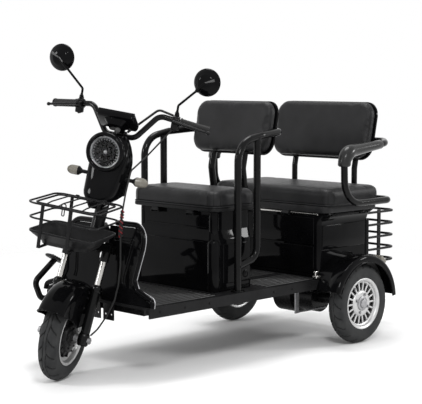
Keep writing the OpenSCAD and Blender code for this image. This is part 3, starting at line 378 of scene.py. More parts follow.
def loft(bm, levels, matrix=None, count=64):
    """Bridges flat loops; a level is (middle x, middle y, z, half x, half y, corner radius)."""
    part = bmesh.new()
    loops = [ring(part, level[:3], level[3:5], level[5], count) for level in levels]
    for a, b in zip(loops, loops[1:]):
        bmesh.ops.bridge_loops(part, edges=a + b)
    for loop in (loops[0], loops[-1]):
        bmesh.ops.edgeloop_fill(part, edges=loop)
    bmesh.ops.recalc_face_normals(part, faces=part.faces)
    add(bm, part, matrix)


def skin(bm, chains, thick):
    """Bridges open chains of points into a sheet and gives it a thickness inwards."""
    part = bmesh.new()
    last = None
    for chain in chains:
        points = [part.verts.new(p) for p in chain]
        lines = [part.edges.new(pair) for pair in zip(points, points[1:])]
        if last:
            bmesh.ops.bridge_loops(part, edges=last + lines)
        last = lines
    bmesh.ops.recalc_face_normals(part, faces=part.faces)
    bmesh.ops.solidify(part, geom=part.faces[:], thickness=thick)
    bmesh.ops.recalc_face_normals(part, faces=part.faces)
    add(bm, part)


def bolt(bm, at, axis, radius=6.0, height=5.0):
    """A hexagon bolt head on a washer."""
    lathe(bm, [(0, 0), (radius * 1.5, 0), (radius * 1.5, 1.4), (radius * 1.4, 1.8), (0, 1.8)], at, axis, 20)
    lathe(bm, [(0, 1.5), (radius, 1.5), (radius, height - 0.8), (radius * 0.82, height), (0, height)], at, axis, 6)


def settle(name, bm, material, body, replaces=(), sharp=32.0):
    """Makes the finished object, in place, on its body."""
    bm.transform(STEER_PLACE if body in STEERED else BODY_PLACE)
    mesh = bpy.data.meshes.new(name)
    bm.to_mesh(mesh)
    bm.free()
    mesh.polygons.foreach_set("use_smooth", [True] * len(mesh.polygons))
    mesh.set_sharp_from_angle(angle=math.radians(sharp))
    mesh.materials.append(material)
    piece = linked(name, mesh)
    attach(piece, body)
    if replaces:
        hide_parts(*replaces)
    return piece


def split(a, b, step):
    """Evenly spaced points from a up to b."""
    count = max(1, round((b - a).length / step))
    return [a.lerp(b, k / count) for k in range(count)]


# Cables first
def brake_cable():
    route = [PERCH - Vector((0, 0, 23.5)), (1150, 150, 930), (1240, 120, 868), (1312, 138, 790), (1334, 143, 720),
             (1340, 148, 640), (1352, 172, 500), (1362, 178, 418), (1366, 172, 358), (1356, 143, 282),
             (1382, 121, 226), at_axis(AXLE_U - 8, 107.8, 205)]
    bm = bmesh.new()
    line = tube(bm, route, 3.5, 45, 8, sides=3)
    path = [STEER_PLACE @ p for p in line]
    piece = settle("front_brake_cable", bm, SHEATH, "steering", ["brake_cable"])
    length = sum((b - a).length for a, b in zip(path, path[1:]))
    # Twisted red and black supply wires, tied along the cable beside the basket
    run = [p for a, b in zip(line, line[1:]) for p in split(a, b, 1.2) if 612 < p.z < 722]
    steps, turns = 90, 5
    run = [run[round(k * (len(run) - 1) / steps)] for k in range(steps + 1)]
    for name, material, phase in (("red_supply_wire", WRAP, 0.0), ("black_supply_wire", SHEATH, math.pi)):
        bm = bmesh.new()
        twist = [phase + k / steps * math.tau * turns for k in range(steps + 1)]
        tube(bm, [p + Vector((math.cos(t), math.sin(t), 0)) * 6.0 for p, t in zip(run, twist)], 2.6, 0, sides=3)
        settle(name, bm, material, "steering")
    # Loom from the switches along the bar to the dash
    off = 17.6
    up = (Vector((0, 0, 1)) - GRIP_DIR * GRIP_DIR.z).normalized()
    bm = bmesh.new()
    tube(bm, [GRIP_OUT + GRIP_DIR * 156.3 + up * off, SHOULDER + Vector((0, -6, off + 7)), (1072, 60, 1036),
              (1100, 28, 1000)], 5, 28, 8, sides=4)
    settle("switch_wire_loom", bm, SHEATH, "steering")


brake_cable()


# Seats
def swell(piece, voxel, pressure, cap):
    """Inflates a closed pad with a short cloth run, and limits how far a point may move."""
    frames = 20
    mesh = piece.data
    work = linked("swelling", mesh.copy())
    remesh = work.modifiers.new("even", "REMESH")
    remesh.mode, remesh.voxel_size = "VOXEL", voxel
    graph = bpy.context.evaluated_depsgraph_get()
    even = bpy.data.meshes.new_from_object(work.evaluated_get(graph))
    work.modifiers.clear()
    work.data = even
    start = [v.co.copy() for v in even.vertices]
    cloth = work.modifiers.new("air", "CLOTH")
    cloth.settings.use_pressure = True
    cloth.settings.uniform_pressure_force = pressure
    cloth.settings.effector_weights.gravity = 0
    cloth.settings.quality = 4
    cloth.collision_settings.use_collision = False
    cloth.point_cache.frame_start, cloth.point_cache.frame_end = 1, frames
    for step in range(1, frames + 1):
        SCENE.frame_set(step)
    graph = bpy.context.evaluated_depsgraph_get()
    blown = bpy.data.meshes.new_from_object(work.evaluated_get(graph))
    SCENE.frame_set(1)
    low = min(v.z for v in start)
    for v, old in zip(blown.vertices, start):
        moved = v.co - old
        if moved.length > cap:
            moved *= cap / moved.length
        v.co = old + moved
        v.co.z = max(v.co.z, low)
    bpy.data.objects.remove(work)
    material = mesh.materials[0]
    piece.data = blown
    blown.materials.clear()
    blown.materials.append(material)
    blown.polygons.foreach_set("use_smooth", [True] * len(blown.polygons))
    finer = piece.modifiers.new("finer", "SUBSURF")
    finer.levels = finer.render_levels = 1


def cushion(name, node, body, x0, x1, half, z0, height):
    """A seat cushion: upright sides, a soft edge and a nearly flat top."""
    bm = bmesh.new()
    middle, long, corner = (x0 + x1) / 2, (x1 - x0) / 2, 40
    steps = [(0.0, 5), (0.03, 1.5), (0.1, 0), (0.6, 0), (0.74, 2), (0.84, 6), (0.91, 12), (0.955, 20), (0.98, 32),
             (1.0, 70)]
    loft(bm, [(middle, 0, z0 + 2 + (height - 5) * t, long - inset, half - inset, max(corner - 0.5 * inset, 8))
              for t, inset in steps], count=96)
    piece = settle(name, bm, COVER, body, [node], sharp=80)
    swell(piece, 0.0055, 4.0, 0.005)
    return piece


def welt(name, body, x0, x1, half, z):
    """The sewn welt along a cushion's lower edge."""
    bm = bmesh.new()
    hoop(bm, x0 + 1, x1 - 1, half - 1, z, 2.6, 40, 3)
    settle(name, bm, COVER, body)


def pleats(name, pad, body, x1, half, z0, height):
    """Sewn creases down the cushion's front corners, laid on its finished surface."""
    mesh = pad.data
    surface = BVHTree.FromPolygons([v.co for v in mesh.vertices], [p.vertices for p in mesh.polygons])
    bm = bmesh.new()
    for side in (-1, 1):
        for dx, dy in ((-44, 3), (-12, -12), (3, -44)):
            line = []
            for k in range(15):
                drop = height * (0.97 - 0.9 * k / 14)
                inward = 26 * max(0.0, 1 - k / 3)
                reach = Vector((x1 + dx - inward, side * (half + dy - inward), z0 + drop))
                found = surface.find_nearest(BODY_PLACE @ reach)[0]
                line.append(BODY_PLACE.inverted() @ found)
            tube(bm, line, 1.5, 0, sides=3)
    settle(name, bm, SEAM, body)


driver_pad = cushion("driver_seat_cushion", "driver_cushion", "driver_seat", *DRIVER_SEAT)
bench_pad = cushion("rear_bench_cushion", "rear_cushion", "rear_seat", *REAR_SEAT)
pleats("driver_seat_pleats", driver_pad, "driver_seat", *DRIVER_SEAT[1:])
pleats("rear_bench_pleats", bench_pad, "rear_seat", *REAR_SEAT[1:])
welt("driver_seat_welt", "driver_seat", *DRIVER_SEAT[:3], 674)
welt("rear_bench_welt", "rear_seat", *REAR_SEAT[:3], 645)


def backrest(name, node, edge, half, height, corner):
    """A leaning pad with a crowned face, and the hard shell behind it."""
    tall = height / 2
    lean = Matrix.Rotation(-LEAN, 4, "Y") @ Matrix.Translation((0, 0, tall))
    stand = Matrix.Translation((edge[0], 0, edge[1])) @ lean @ FACING
    bm = bmesh.new()
    steps = [(-43.5, 4), (-41, 1), (-30, 0), (-18, 1), (-10, 5), (-4.5, 12), (-1.6, 22), (-0.4, 40), (0, 70)]
    loft(bm, [(0, 0, depth, half - inset, tall - inset, corner - 0.3 * inset) for depth, inset in steps], stand, 96)
    piece = settle(name + "_pad", bm, COVER, "chassis", [node], sharp=80)
    swell(piece, 0.0055, 4.0, 0.005)
    bm = bmesh.new()
    shell = [(-44, 2), (-45, -1.5), (-52, -2), (-57, 1), (-60, 8), (-61.6, 20), (-62, 40)]
    loft(bm, [(0, 0, depth, half - inset, tall - inset, corner) for depth, inset in shell], stand, 96)
    for y in (-0.6, 0.6):
        for z in (-0.5, 0.5):
            bolt(bm, stand @ Vector((y * half, z * tall, -61.5)), stand.to_3x3() @ Vector((0, 0, -1)), 5, 4)
    settle(name + "_shell", bm, GLOSS, "chassis", ["backrest_shells"])


backrest("driver_backrest", "driver_backrest", DRIVER_BACK, 238, 240, 58)
backrest("rear_backrest", "rear_backrest", REAR_BACK, 304, 278, 70)


# Seat boxes
def hinge_ears(bm, hinge, wall):
    """Ears and pins of a seat hinge."""
    x, z = hinge
    for side in (-110, 110):
        lathe(bm, [(0, -26), (3, -26), (3, 26), (0, 26)], (x, side, z), (0, 1, 0), 16)
        for y in (side - 26, side + 20):
            block(bm, (wall - 1, y, z - 12), (x + 5, y + 6, z + 5), 2.4)


def driver_box():
    bm = bmesh.new()
    back, front, half = 548, 796, 250
    outer = [(308, 3), (312, 0), (526, 0), (532, 1), (537, 4), (568, 14), (573, 16), (578, 16), (648, 16), (654, 17)]
    levels = [((back + front - i) / 2, 0, z, (front - back - i) / 2, half - i, 36 - 0.4 * i) for z, i in outer]
    inner, hollow = (back + 8 + front - 22) / 2, [(654, 0), (650, 0), (320, 0), (316, 4)]
    levels += [(inner, 0, z, (front - back - 30) / 2 - i, half - 22 - i, 26) for z, i in hollow]
    loft(bm, levels, count=96)
    hinge_ears(bm, DRIVER_HINGE, 782)
    for side in (-1, 1):
        # Rounded corner column below the ledge and the slimmer one above it
        low = [(308, 27), (316, 28), (516, 28), (524, 26), (531, 21), (537, 12)]
        high = [(548, 16), (560, 20), (572, 21), (642, 21), (652, 19)]
        for x, y, column, count in ((772, 226, low, 40), (762, 216, high, 32)):
            loft(bm, [(x, side * y, z, r, r, r) for z, r in column], count=count)
        # Raised side panel with a round cap low down
        block(bm, (572, side * 248.5 - 4, 340), (740, side * 248.5 + 4, 512), 3.6, 4)
        lathe(bm, [(0, 6), (13, 6), (16, 4.5), (17, 1), (17, -3)], (604, side * 250, 372), (0, side, 0), 28)
    # Beads above and below the front band
    for x, z in ((795.6, 522), (780.4, 582)):
        tube(bm, [(x, -190, z), (x, 190, z)], 2.2, 0, sides=3)
    settle("driver_seat_box", bm, GLOSS, "chassis", ["driver_box"])


def rear_box():
    bm = bmesh.new()
    x, long, half = -9, 181, 305
    outer = [(308, 3, 0), (312, 0, 0), (548, 0, 0), (560, 0.5, 1), (575, 1, 8), (590, 1, 22), (600, 1, 36),
             (604, 1, 42), (607, 2, 42)]
    levels = [(x, 0, z, long - i, half - i + out, 22) for z, i, out in outer]
    levels += [(x, 0, z, long - i, half - i, 18) for z, i in ((607, 10), (600, 8), (318, 8), (316, 12))]
    loft(bm, levels, count=96)
    hinge_ears(bm, REAR_HINGE, 172)
    settle("rear_seat_box", bm, GLOSS, "chassis", ["rear_box"])
    bm = bmesh.new()
    for low, high in ((326, 452), (459, 584)):
        block(bm, (168, -276, low), (175.5, 276, high), 3, 4)
    for y in (-half, half):
        block(bm, (-160, y - 3, 436), (150, y + 4, 548), 3.4, 4)
        block(bm, (-193, y - 12, 330), (-166, y + 3, 556), 4, 3)
    settle("rear_box_panels", bm, GLOSS, "chassis")
    bm = bmesh.new()
    block(bm, (171, -300, 596), (177, 300, 604), 2.4)
    for side in (-1, 1):
        # Bright catch near the lower front corner
        block(bm, (176, side * 318 - 14, 312), (214, side * 318 + 10, 324), 4)
        block(bm, (180, side * 306 - 5, 318), (204, side * 306 + 8, 344), 4)
    settle("rear_box_bright_trim", bm, CHROME, "chassis")


def seat_pans():
    for name, node, body, seat, half, z0, hinge, finish in (
            ("driver_seat_pan", "driver_pan", "driver_seat", DRIVER_SEAT, 262, 654, DRIVER_HINGE, PLASTIC),
            ("rear_bench_pan", "rear_pan", "rear_seat", REAR_SEAT, 356, 608, REAR_HINGE, COVER)):
        (x0, x1, _, z1, _), (hinge_x, hinge_z) = seat, hinge
        bm = bmesh.new()
        middle, long = (x0 + x1) / 2, (x1 - x0) / 2
        loft(bm, [(middle, 0, z, long - i, half - i, 38) for z, i in (
            (z0, 4), (z0 + 2, 1), (z0 + 5, 0), (z1 - 4, 0), (z1 - 1, 1), (z1, 4))], count=96)
        for side in (-110, 110):
            lathe(bm, [(0, -19.7), (6, -19.7), (6, 19.7), (0, 19.7)], (hinge_x, side, hinge_z), (0, 1, 0), 20)
            block(bm, (hinge_x - 4, side - 19.7, hinge_z), (hinge_x + 4, side + 19.7, z0 + 2), 1.2)
        settle(name, bm, finish, body, [node])


driver_box()
rear_box()
seat_pans()


# Tubes around the seats
def leaned(edge, back, up):
    """A point behind a backrest's lower front edge and up along it: (x, z)."""
    x, z = edge
    return (x - back * math.cos(LEAN) - up * math.sin(LEAN), z - back * math.sin(LEAN) + up * math.cos(LEAN))


def guard_rails():
    bm = bmesh.new()
    end_x, end_z = leaned(DRIVER_BACK, 43.7, 105.6)
    x, y = 697, 296
    rail = [(x, y, FLOOR_TOP), (x, y, 946), (547, y, 974), (end_x, 272, end_z), (end_x, 240.3, end_z)]
    upright = [(577, y, 966), (577, y, 446), (x, y, 416)]
    knee, tip = leaned(DRIVER_BACK, 22, -70), leaned(DRIVER_BACK, 22, -0.3)
    foot_x, foot_y = knee[0] - 12, 98
    leg = [(foot_x, foot_y, FLOOR_TOP), (foot_x, foot_y, 736), (knee[0], foot_y, knee[1]), (tip[0], foot_y, tip[1])]
    for path, bend in ((rail, [0, 100, 100, 28, 0]), (upright, 60), (leg, 60)):
        for line in (path, flip(path)):
            tube(bm, line, 16, bend, 12)
    for side in (-1, 1):
        for foot in ((x, side * y, FLOOR_TOP), (foot_x, side * foot_y, FLOOR_TOP)):
            lathe(bm, [(17, 0), (30, 0), (30, 3), (28, 5), (17, 6)], foot, (0, 0, 1), 32)
        for off in (-23, 23):
            bolt(bm, (x + off, side * y, FLOOR_TOP + 3), (0, 0, 1), 3.6, 4)
    settle("driver_guard_rails", bm, TUBE, "chassis", ["guard_rails"])


def rear_armrests():
    x, z = leaned(REAR_BACK, 78.6, 100)
    post, out, low = 204.3, 412, 651
    arm = [(x, post, z), (x, 342, z), (x + 65, 398, z - 6), (128, out, z - 36), (120, out, low), (-224, out, low),
           (-224, post, low)]
    bm = bmesh.new()
    for line in (arm, flip(arm)):
        tube(bm, line, 16, [0, 46, 90, 60, 115, 46, 0], 12)
    settle("rear_armrest_tubes", bm, TUBE, "chassis", ["rear_armrests"])
    # Padded sleeve: thin at the back, a bulb around the front bend
    line = fillet(arm[2:5], [0, 60, 0], 14)
    start, corner = line[0], line[1]
    path = [start.lerp(corner, t) for t in (0.14, 0.142, 0.155, 0.3, 0.5, 0.65, 0.78, 0.88, 0.95)] + line[1:16]
    last = path[-1]
    path += [last - Vector((0, 0, drop)) for drop in (4, 7, 8)]
    sizes = [16.4, 19.5, 21, 22, 23, 24.2, 25.8, 27.4, 28.6]
    sizes += [29.5 + 3.5 * math.sin(math.pi * min(1, k / 11)) for k in range(15)] + [27, 23, 16.4]
    bm = bmesh.new()
    for side in (-1, 1):
        tube(bm, [sided(p, side) for p in path], 20, 0, sides=10, swell=[r / 20 for r in sizes])
    settle("armrest_sleeves", bm, PAD, "chassis", ["armrest_pads"], sharp=50)


def backrest_posts():
    bm = bmesh.new()
    knee, tip, rail = [leaned(REAR_BACK, 76.3, up) for up in (-40, 194.6, 139)]
    up = (Vector((tip[0], 0, tip[1])) - Vector((knee[0], 0, knee[1]))).normalized()
    for y in (-190, 190):
        tube(bm, [(knee[0], y, 296), (knee[0], y, knee[1]), (tip[0], y, tip[1])], 14, 60, 10)
        lathe(bm, [(14, -1), (14, 2), (10, 6), (0, 8)], (tip[0], y, tip[1]), up, 32)
    tube(bm, [(rail[0], y, rail[1]) for y in (-190, 190)], 14)
    settle("rear_backrest_posts", bm, TUBE, "chassis", ["backrest_posts"])


def rear_rack():
    bm = bmesh.new()
    for i in range(5):
        z = 340 + i * 59.5
        tube(bm, [(-190.3, 288, z), (-426, 288, z), (-426, -288, z), (-190.3, -288, z)], 6, 46, 12, sides=4)
    for side in (-1, 1):
        block(bm, (-320, side * 276.7 - 3, 330), (-296, side * 276.7 + 3, 588), 1.5)
        for z in (400, 520):
            bolt(bm, (-308, side * 279.7, z), (0, side, 0), 3.5, 3.5)
    settle("rear_rack_hoops", bm, POWDER, "chassis", ["rear_rack"])


guard_rails()
rear_armrests()
backrest_posts()
rear_rack()


# Body panels
def leg_shield():
    foot_x, top_x, rise = 1232, 1172, 612 - FLOOR_TOP
    lean = math.atan((foot_x - top_x) / rise)
    tall = rise / math.cos(lean)
    stand = Matrix.Translation((foot_x, 0, FLOOR_TOP)) @ Matrix.Rotation(-lean, 4, "Y") @ FACING

    def edge(d):
        """The right half of the outline, moved outwards by d."""
        corners = [(330 + d, 0, 0), (330 + d, 14 + d, 0), (228 + d, 54 + d / 2, 0), (204 + d, 98, 0),
                   (228 + d, tall - 81.2, 0), (228 + d, tall + d, 0), (60, tall + d, 0)]
        return fillet(corners, [0, 6 + d, 24 - d, 30 - d, 60 + d, 58 + d, 0], 10)

    bm = bmesh.new()
    right = edge(0)
    slot = [Vector((x, tall * share, 0)) for x, share in ((30, 1), (30, 0.55), (-30, 0.55), (-30, 1))]
    left = [Vector((-p.x, p.y, 0)) for p in reversed(right)]
    part = bmesh.new()
    sheet = part.faces.new([part.verts.new(p) for p in right + slot + left])
    grown = bmesh.ops.extrude_face_region(part, geom=[sheet])["geom"]
    bmesh.ops.translate(part, vec=(0, 0, 6), verts=[g for g in grown if isinstance(g, bmesh.types.BMVert)])
    bmesh.ops.recalc_face_normals(part, faces=part.faces)
    bmesh.ops.triangulate(part, faces=[f for f in part.faces if len(f.verts) > 4])
    add(bm, part, stand)
    bright = bmesh.new()
    for side in (-1, 1):
        # Rolled edge with a bright zinc bead on its outer side, a painted highlight line along the glossy roll, then
        # moulded ridges that follow the outline on the front face
        tube(bm, [stand @ Vector((side * p.x, p.y, 3)) for p in edge(12.1)], 11.5, 0, sides=6)
        tube(bright, [stand @ Vector((side * p.x, p.y, 1.5)) for p in edge(21.4)], 3.2, 0, sides=3)
        for inset in (46, 58):
            tube(bm, [stand @ Vector((side * p.x, p.y, 6)) for p in edge(-inset) if p.y > 70], 3.2, 0, sides=3)
        # Lips of the slot, close to the frame's neck
        inner, outer = sorted((side * 22, side * 34))
        block(bm, (inner, tall * 0.54, 0.2), (outer, tall - 1, 5.8), 1, 2, stand)
    settle("leg_shield_panel", bm, GLOSS, "chassis", ["leg_shield"], sharp=40)
    # The bead's bright zinc is a painted highlight line on the rolled edge
    settle("leg_shield_painted_highlight_bead", bright, ZINC, "chassis", sharp=60)


def rear_fenders():
    bm = bmesh.new()
    section = [(196, 452), (205, 454), (216, 453), (223, 449), (226.6, 441), (227, 430), (227, 388), (224, 384),
               (223, 378), (223, 320), (223, 305.5)]
    for side in (-1, 1):
        chains = []
        for i in range(49):
            a = math.radians(20 + i * 155 / 48)
            chains.append([Vector((r * math.cos(a), side * y, TYRE_R + r * math.sin(a))) for r, y in section])
        skin(bm, chains, 4.0 * side)
        tube(bm, [chain[0] for chain in chains], 4, 0, sides=3)
    settle("rear_wheel_fenders", bm, GLOSS, "chassis", ["rear_fenders"], sharp=48)


def front_fender():
    bm = bmesh.new()
    middle = Vector(FRONT_HUB)
    low = [(38, 193), (42, 160), (50, 112), (60, 72), (72, 49), (95, 46), (126, 52), (150, 120)]

    def hem(a):
        """Radius of the valance's lower edge at an angle."""
        for (a0, r0), (a1, r1) in zip(low, low[1:]):
            if a <= a1:
                return r0 + (r1 - r0) * (a - a0) / (a1 - a0)
        return low[-1][1]

    chains = []
    for i in range(57):
        a = 38 + i * 98 / 56
        base = hem(a)
        half = [(229, 0), (229, 14), (227.5, 28), (222, 42), (214, 52), (206, 57)]
        half += [(206 + (base - 206) * t, 58) for t in (0.12, 0.3, 0.5, 0.7, 0.86, 1.0)]
        flare = max(0, 1 - i / 5) * 4
        chain = [(r + (flare if r > 200 else 0) * 0.3, y) for r, y in half]
        c, s = math.cos(math.radians(a)), math.sin(math.radians(a))
        chains.append([middle + Vector((r * c, y, r * s)) for r, y in
                       [(r, -y) for r, y in reversed(chain)] + chain[1:]])
    skin(bm, chains, 4.5)
    for chain in (chains[0], chains[-1]):
        tube(bm, chain, 3, 0, sides=3)
    for edge in (0, -1):
        tube(bm, [chain[edge] for chain in chains], 2.6, 0, sides=3)
    for side in (-1, 1):
        for w in (348, 372):
            bolt(bm, at_axis(AXLE_U, side * 58, w), (0, side, 0), 4.5, 5)
    settle("front_wheel_fender", bm, GLOSS, "steering", ["front_fender"], sharp=50)


def nose():
    bm = bmesh.new()
    # Height, back edge, front and half width
    levels = [(986, 1150, 1172, 42), (972, 1150, 1182, 58), (945, 1150, 1202, 71), (915, 1150, 1226, 80),
              (885, 1150, 1245, 84), (850, 1151, 1258, 83.5), (815, 1153, 1270, 82), (780, 1158, 1286, 79),
              (757, 1163, 1298, 76), (744, 1168, 1301, 72), (728, 1196, 1303, 58), (710, 1234, 1305, 40),
              (696, 1262, 1305, 28)]
    power = 3.8
    chains = []
    for z, back, front, half in levels:
        chain = []
        for k in range(33):
            t = -math.pi / 2 + math.pi * k / 32
            y = half * rounded(math.sin(t), power)
            ridge = 5 * max(0, 1 - abs(y) / (0.55 * half)) * min(1, max(0, (900 - z) / 80))
            chain.append(Vector((back + (front - back - 5) * rounded(max(math.cos(t), 0), power) + ridge, y, z)))
        chains.append(chain)
    skin(bm, chains, 5)
    for edge in (0, -1):
        tube(bm, [chain[edge] for chain in chains[:10]], 4, 0, sides=3)
    # Raised cheek panels behind the lamp
    for side in (-1, 1):
        cheek = []
        for z, back, front, half in levels[2:10]:
            share = (945 - z) / 201
            wide = 30 + 34 * math.sin(math.pi * min(1, share + 0.1))
            out = [half * (1.0 - 0.012 * k * k * wide / 60) + 3.5 - 0.5 * abs(k - 3) for k in range(7)]
            cheek.append([Vector((back + 4 + wide * k / 6, side * y, z)) for k, y in enumerate(out)])
        skin(bm, cheek, 4)
    settle("nose_shell", bm, GLOSS, "steering", ["nose_panel"], sharp=45)


leg_shield()
rear_fenders()
front_fender()
nose()


# Lamps, dash and bar
def headlight():
    at, ahead = (1252, 0, 925), (1, 0, 0)
    bm = bmesh.new()
    lathe(bm, [(0, -84), (20, -83.4), (34, -80), (50, -70), (64, -56), (75, -36), (82, -18), (84, -8), (83.6, -2),
               (82, 3), (79, 6.4), (75, 8), (72, 7.7), (69, 6), (67, 3), (66, -1), (66, -9), (62, -11),
               (0, -60)], at, ahead, 64)
    settle("headlight_bowl", bm, GLOSS, "steering", ["headlight"])
    bm = bmesh.new()
    lathe(bm, [(65.8, -1.4), (63.5, -0.6), (60.5, -1.8), (57.5, -5), (56.5, -9), (65.8, -9)], at, ahead, 64, True)
    for turn in around(at, 28, "X"):
        block(bm, (-11, 49, -1.5), (-7.5, 56, 1.5), 0.9, 2, turn)
    lathe(bm, [(0, -5), (5, -5.4), (7.5, -7), (8, -10)], at, ahead, 24)
    settle("headlight_bright_ring", bm, ZINC, "steering")
    bm = bmesh.new()
    lathe(bm, [(65, -9.5), (56, -10), (49, -13), (42, -20), (34, -25), (24, -27), (22, -20), (20, -13), (15, -10.5),
               (0, -10)], at, ahead, 96)
    for turn in around(at, 12, "X", 0.5):
        block(bm, (-25, 21, -1.4), (-12, 48, 1.4), 0.8, 2, turn)
    lathe(bm, [(36, -11), (39, -10), (40, -12), (37, -15), (34, -13)], at, ahead, 48, True)
    settle("headlight_reflector", bm, REFLECTOR, "steering")
    bm = bmesh.new()
    lathe(bm, [(0, 5.6), (20, 5.3), (40, 4.2), (54, 2.8), (65.6, 0.8), (65.6, -0.8), (54, 1.2), (40, 2.6), (20, 3.7),
               (0, 4)], at, ahead, 64)
    settle("headlight_glass", bm, CLEAR, "steering", ["headlight_lens"])


def turn_signals():
    bm, glass = bmesh.new(), bmesh.new()
    at, base = (1190, 0, 818), 131
    for side in (-1, 1):
        lathe(bm, [(7.5, 40), (8, 60), (8, 112), (10, 117), (13, 121), (17, 126), (19.5, 130), (19, base), (0, base)],
              at, (0, side, 0), 36)
        ribs = []
        for i in range(15):
            t = i / 14
            r = 20 * math.sqrt(max(0.0, 1 - max(0.0, (t - 0.45) / 0.55) ** 2))
            ribs += [(max(r - 0.9, 0), base + 50.4 * t), (r, base + 50.4 * t + 1.2)]
        lathe(glass, [(0, base)] + ribs + [(0, base + 51)], at, (0, side, 0), 36)
    settle("signal_stalks", bm, PLASTIC, "steering")
    settle("signal_lenses", glass, SMOKED, "steering", ["turn_signals"])


def dash():
    bm = bmesh.new()
    tilt = Matrix.Translation((1165, 0, 1040)) @ Matrix.Rotation(-math.radians(40), 4, "Y")
    hood = [(0, 7), (3, 2), (9, 0), (24, 0), (30, 2), (34, 6), (34, 12), (31, 14)]
    loft(bm, [(0, 0, z, 47 - i, 83 - i, 13) for z, i in hood], tilt)
    # Hood lip over the front edge and the narrower stem below
    block(bm, (38, -82, 8), (46.5, 82, 33), 4, 3, tilt)
    loft(bm, [(-6, 0, -20, 24, 30, 10), (-4, 0, -8, 30, 40, 12), (-2, 0, 1, 36, 52, 14)], tilt, 40)
    block(bm, (4, -20, 20.3), (38, 20, 46), 4, 3, BAR_CLAMP)
    settle("instrument_hood", bm, GLOSS, "steering", ["dash"])
    bm = bmesh.new()
    loft(bm, [(-4, 0, 30.5, 30, 66, 6), (-4, 0, 32.5, 29, 65, 6)], tilt)
    settle("instrument_glass", bm, REFLECTOR, "steering")
    bm = bmesh.new()
    at, out = (1178, 14, 1012), Vector((0.75, 0.1, -0.4))
    lathe(bm, [(0, 10), (4, 10), (4.6, 9), (8, 8.6), (9.4, 6), (9.6, 0), (11, -2), (11, -8)], at, out, 32)
    key = Matrix.Translation(at) @ out.to_track_quat("Z", "Y").to_matrix().to_4x4()
    block(bm, (-1.2, -4, 8), (1.2, 4, 22), 0.8, 2, key)
    settle("ignition_lock", bm, CASE, "steering")


def handlebar():
    bm = bmesh.new()
    half = [GRIP_OUT, SHOULDER, Vector((1108, 66, 982))]
    tube(bm, half + list(reversed(flip(half))), 12, 44, 10)
    for low, high in ((-23.7, -1), (0, 20)):
        block(bm, (-20, -24, low), (20, 24, high), 4, 3, BAR_CLAMP)
    for x in (-15, 15):
        for y in (-17, 17):
            bolt(bm, BAR_CLAMP @ Vector((x, y, 19.5)), UP_AXIS, 3.4, 4.5)
    settle("handlebar_tube", bm, TUBE, "steering", ["handlebar"])
    bm = bmesh.new()
    ribs = [(12.4, -3), (17.5, -3), (18, -1), (18, 3), (15.5, 4)]
    for i in range(18):
        h = 6 + i * 6
        ribs += [(15.2, h), (16.4, h + 1), (16.4, h + 3.6), (15.2, h + 4.6)]
    ribs += [(15.6, 114), (18.6, 116), (18.6, 121), (17, 122), (12.4, 122)]
    for side in (-1, 1):
        lathe(bm, ribs, sided(GRIP_OUT, side), sided(GRIP_DIR, side), 32)
    settle("handlebar_grips", bm, GRIP, "steering", ["grips"])


def levers():
    bm = bmesh.new()
    for side in (-1, 1):
        perch = sided(PERCH, side)
        along = sided(GRIP_DIR, side)
        lathe(bm, [(12.4, -14), (19, -14), (21, -11), (21, 12), (19, 16), (12.4, 16)], perch, along, 36)
        # Switch block inboard of the grip, with its buttons, and the lever's pivot lug
        low = perch + Vector((4, 0, -26))
        block(bm, low - Vector((15, 15, 13)), low + Vector((15, 15, 15)), 5, 3)
        for dx in (-6, 6):
            block(bm, low + Vector((dx - 4, -4, -17)), low + Vector((dx + 4, 4, -11)), 2, 2)
        block(bm, perch + Vector((10, -13, -5)), perch + Vector((34, 13, 12)), 5, 3)
        lathe(bm, [(0, 0), (7, 0), (7, 16), (5, 19), (0, 19)], perch + Vector((26, 0, 0)), (0, 0, 1), 20)
        block(bm, (-9, -9, -10), (9, 9, 12), 4, 3, Matrix.Translation(perch + Vector((-2, 0, 18))))
        # Lever blade, tapering to a ball end
        tip = sided(GRIP_OUT + GRIP_DIR * -14, side) + Vector((40, 0, -4))
        root = perch + Vector((46, 0, 2))
        tube(bm, [perch + Vector((24, 0, 4)), root, tip], 5, 14, 6, sides=3)
        flat = (tip - root).normalized()
        lathe(bm, [(5, 0), (6.2, 30), (6.4, 90), (5.4, (tip - root).length - 14)], root, flat, 20)
        lathe(bm, [(0, -9), (5, -8), (7.4, -4), (8, 0), (7.4, 4), (5, 7), (0, 8)], tip, flat, 24)
    settle("brake_levers_and_switches", bm, POWDER, "steering", ["levers"])


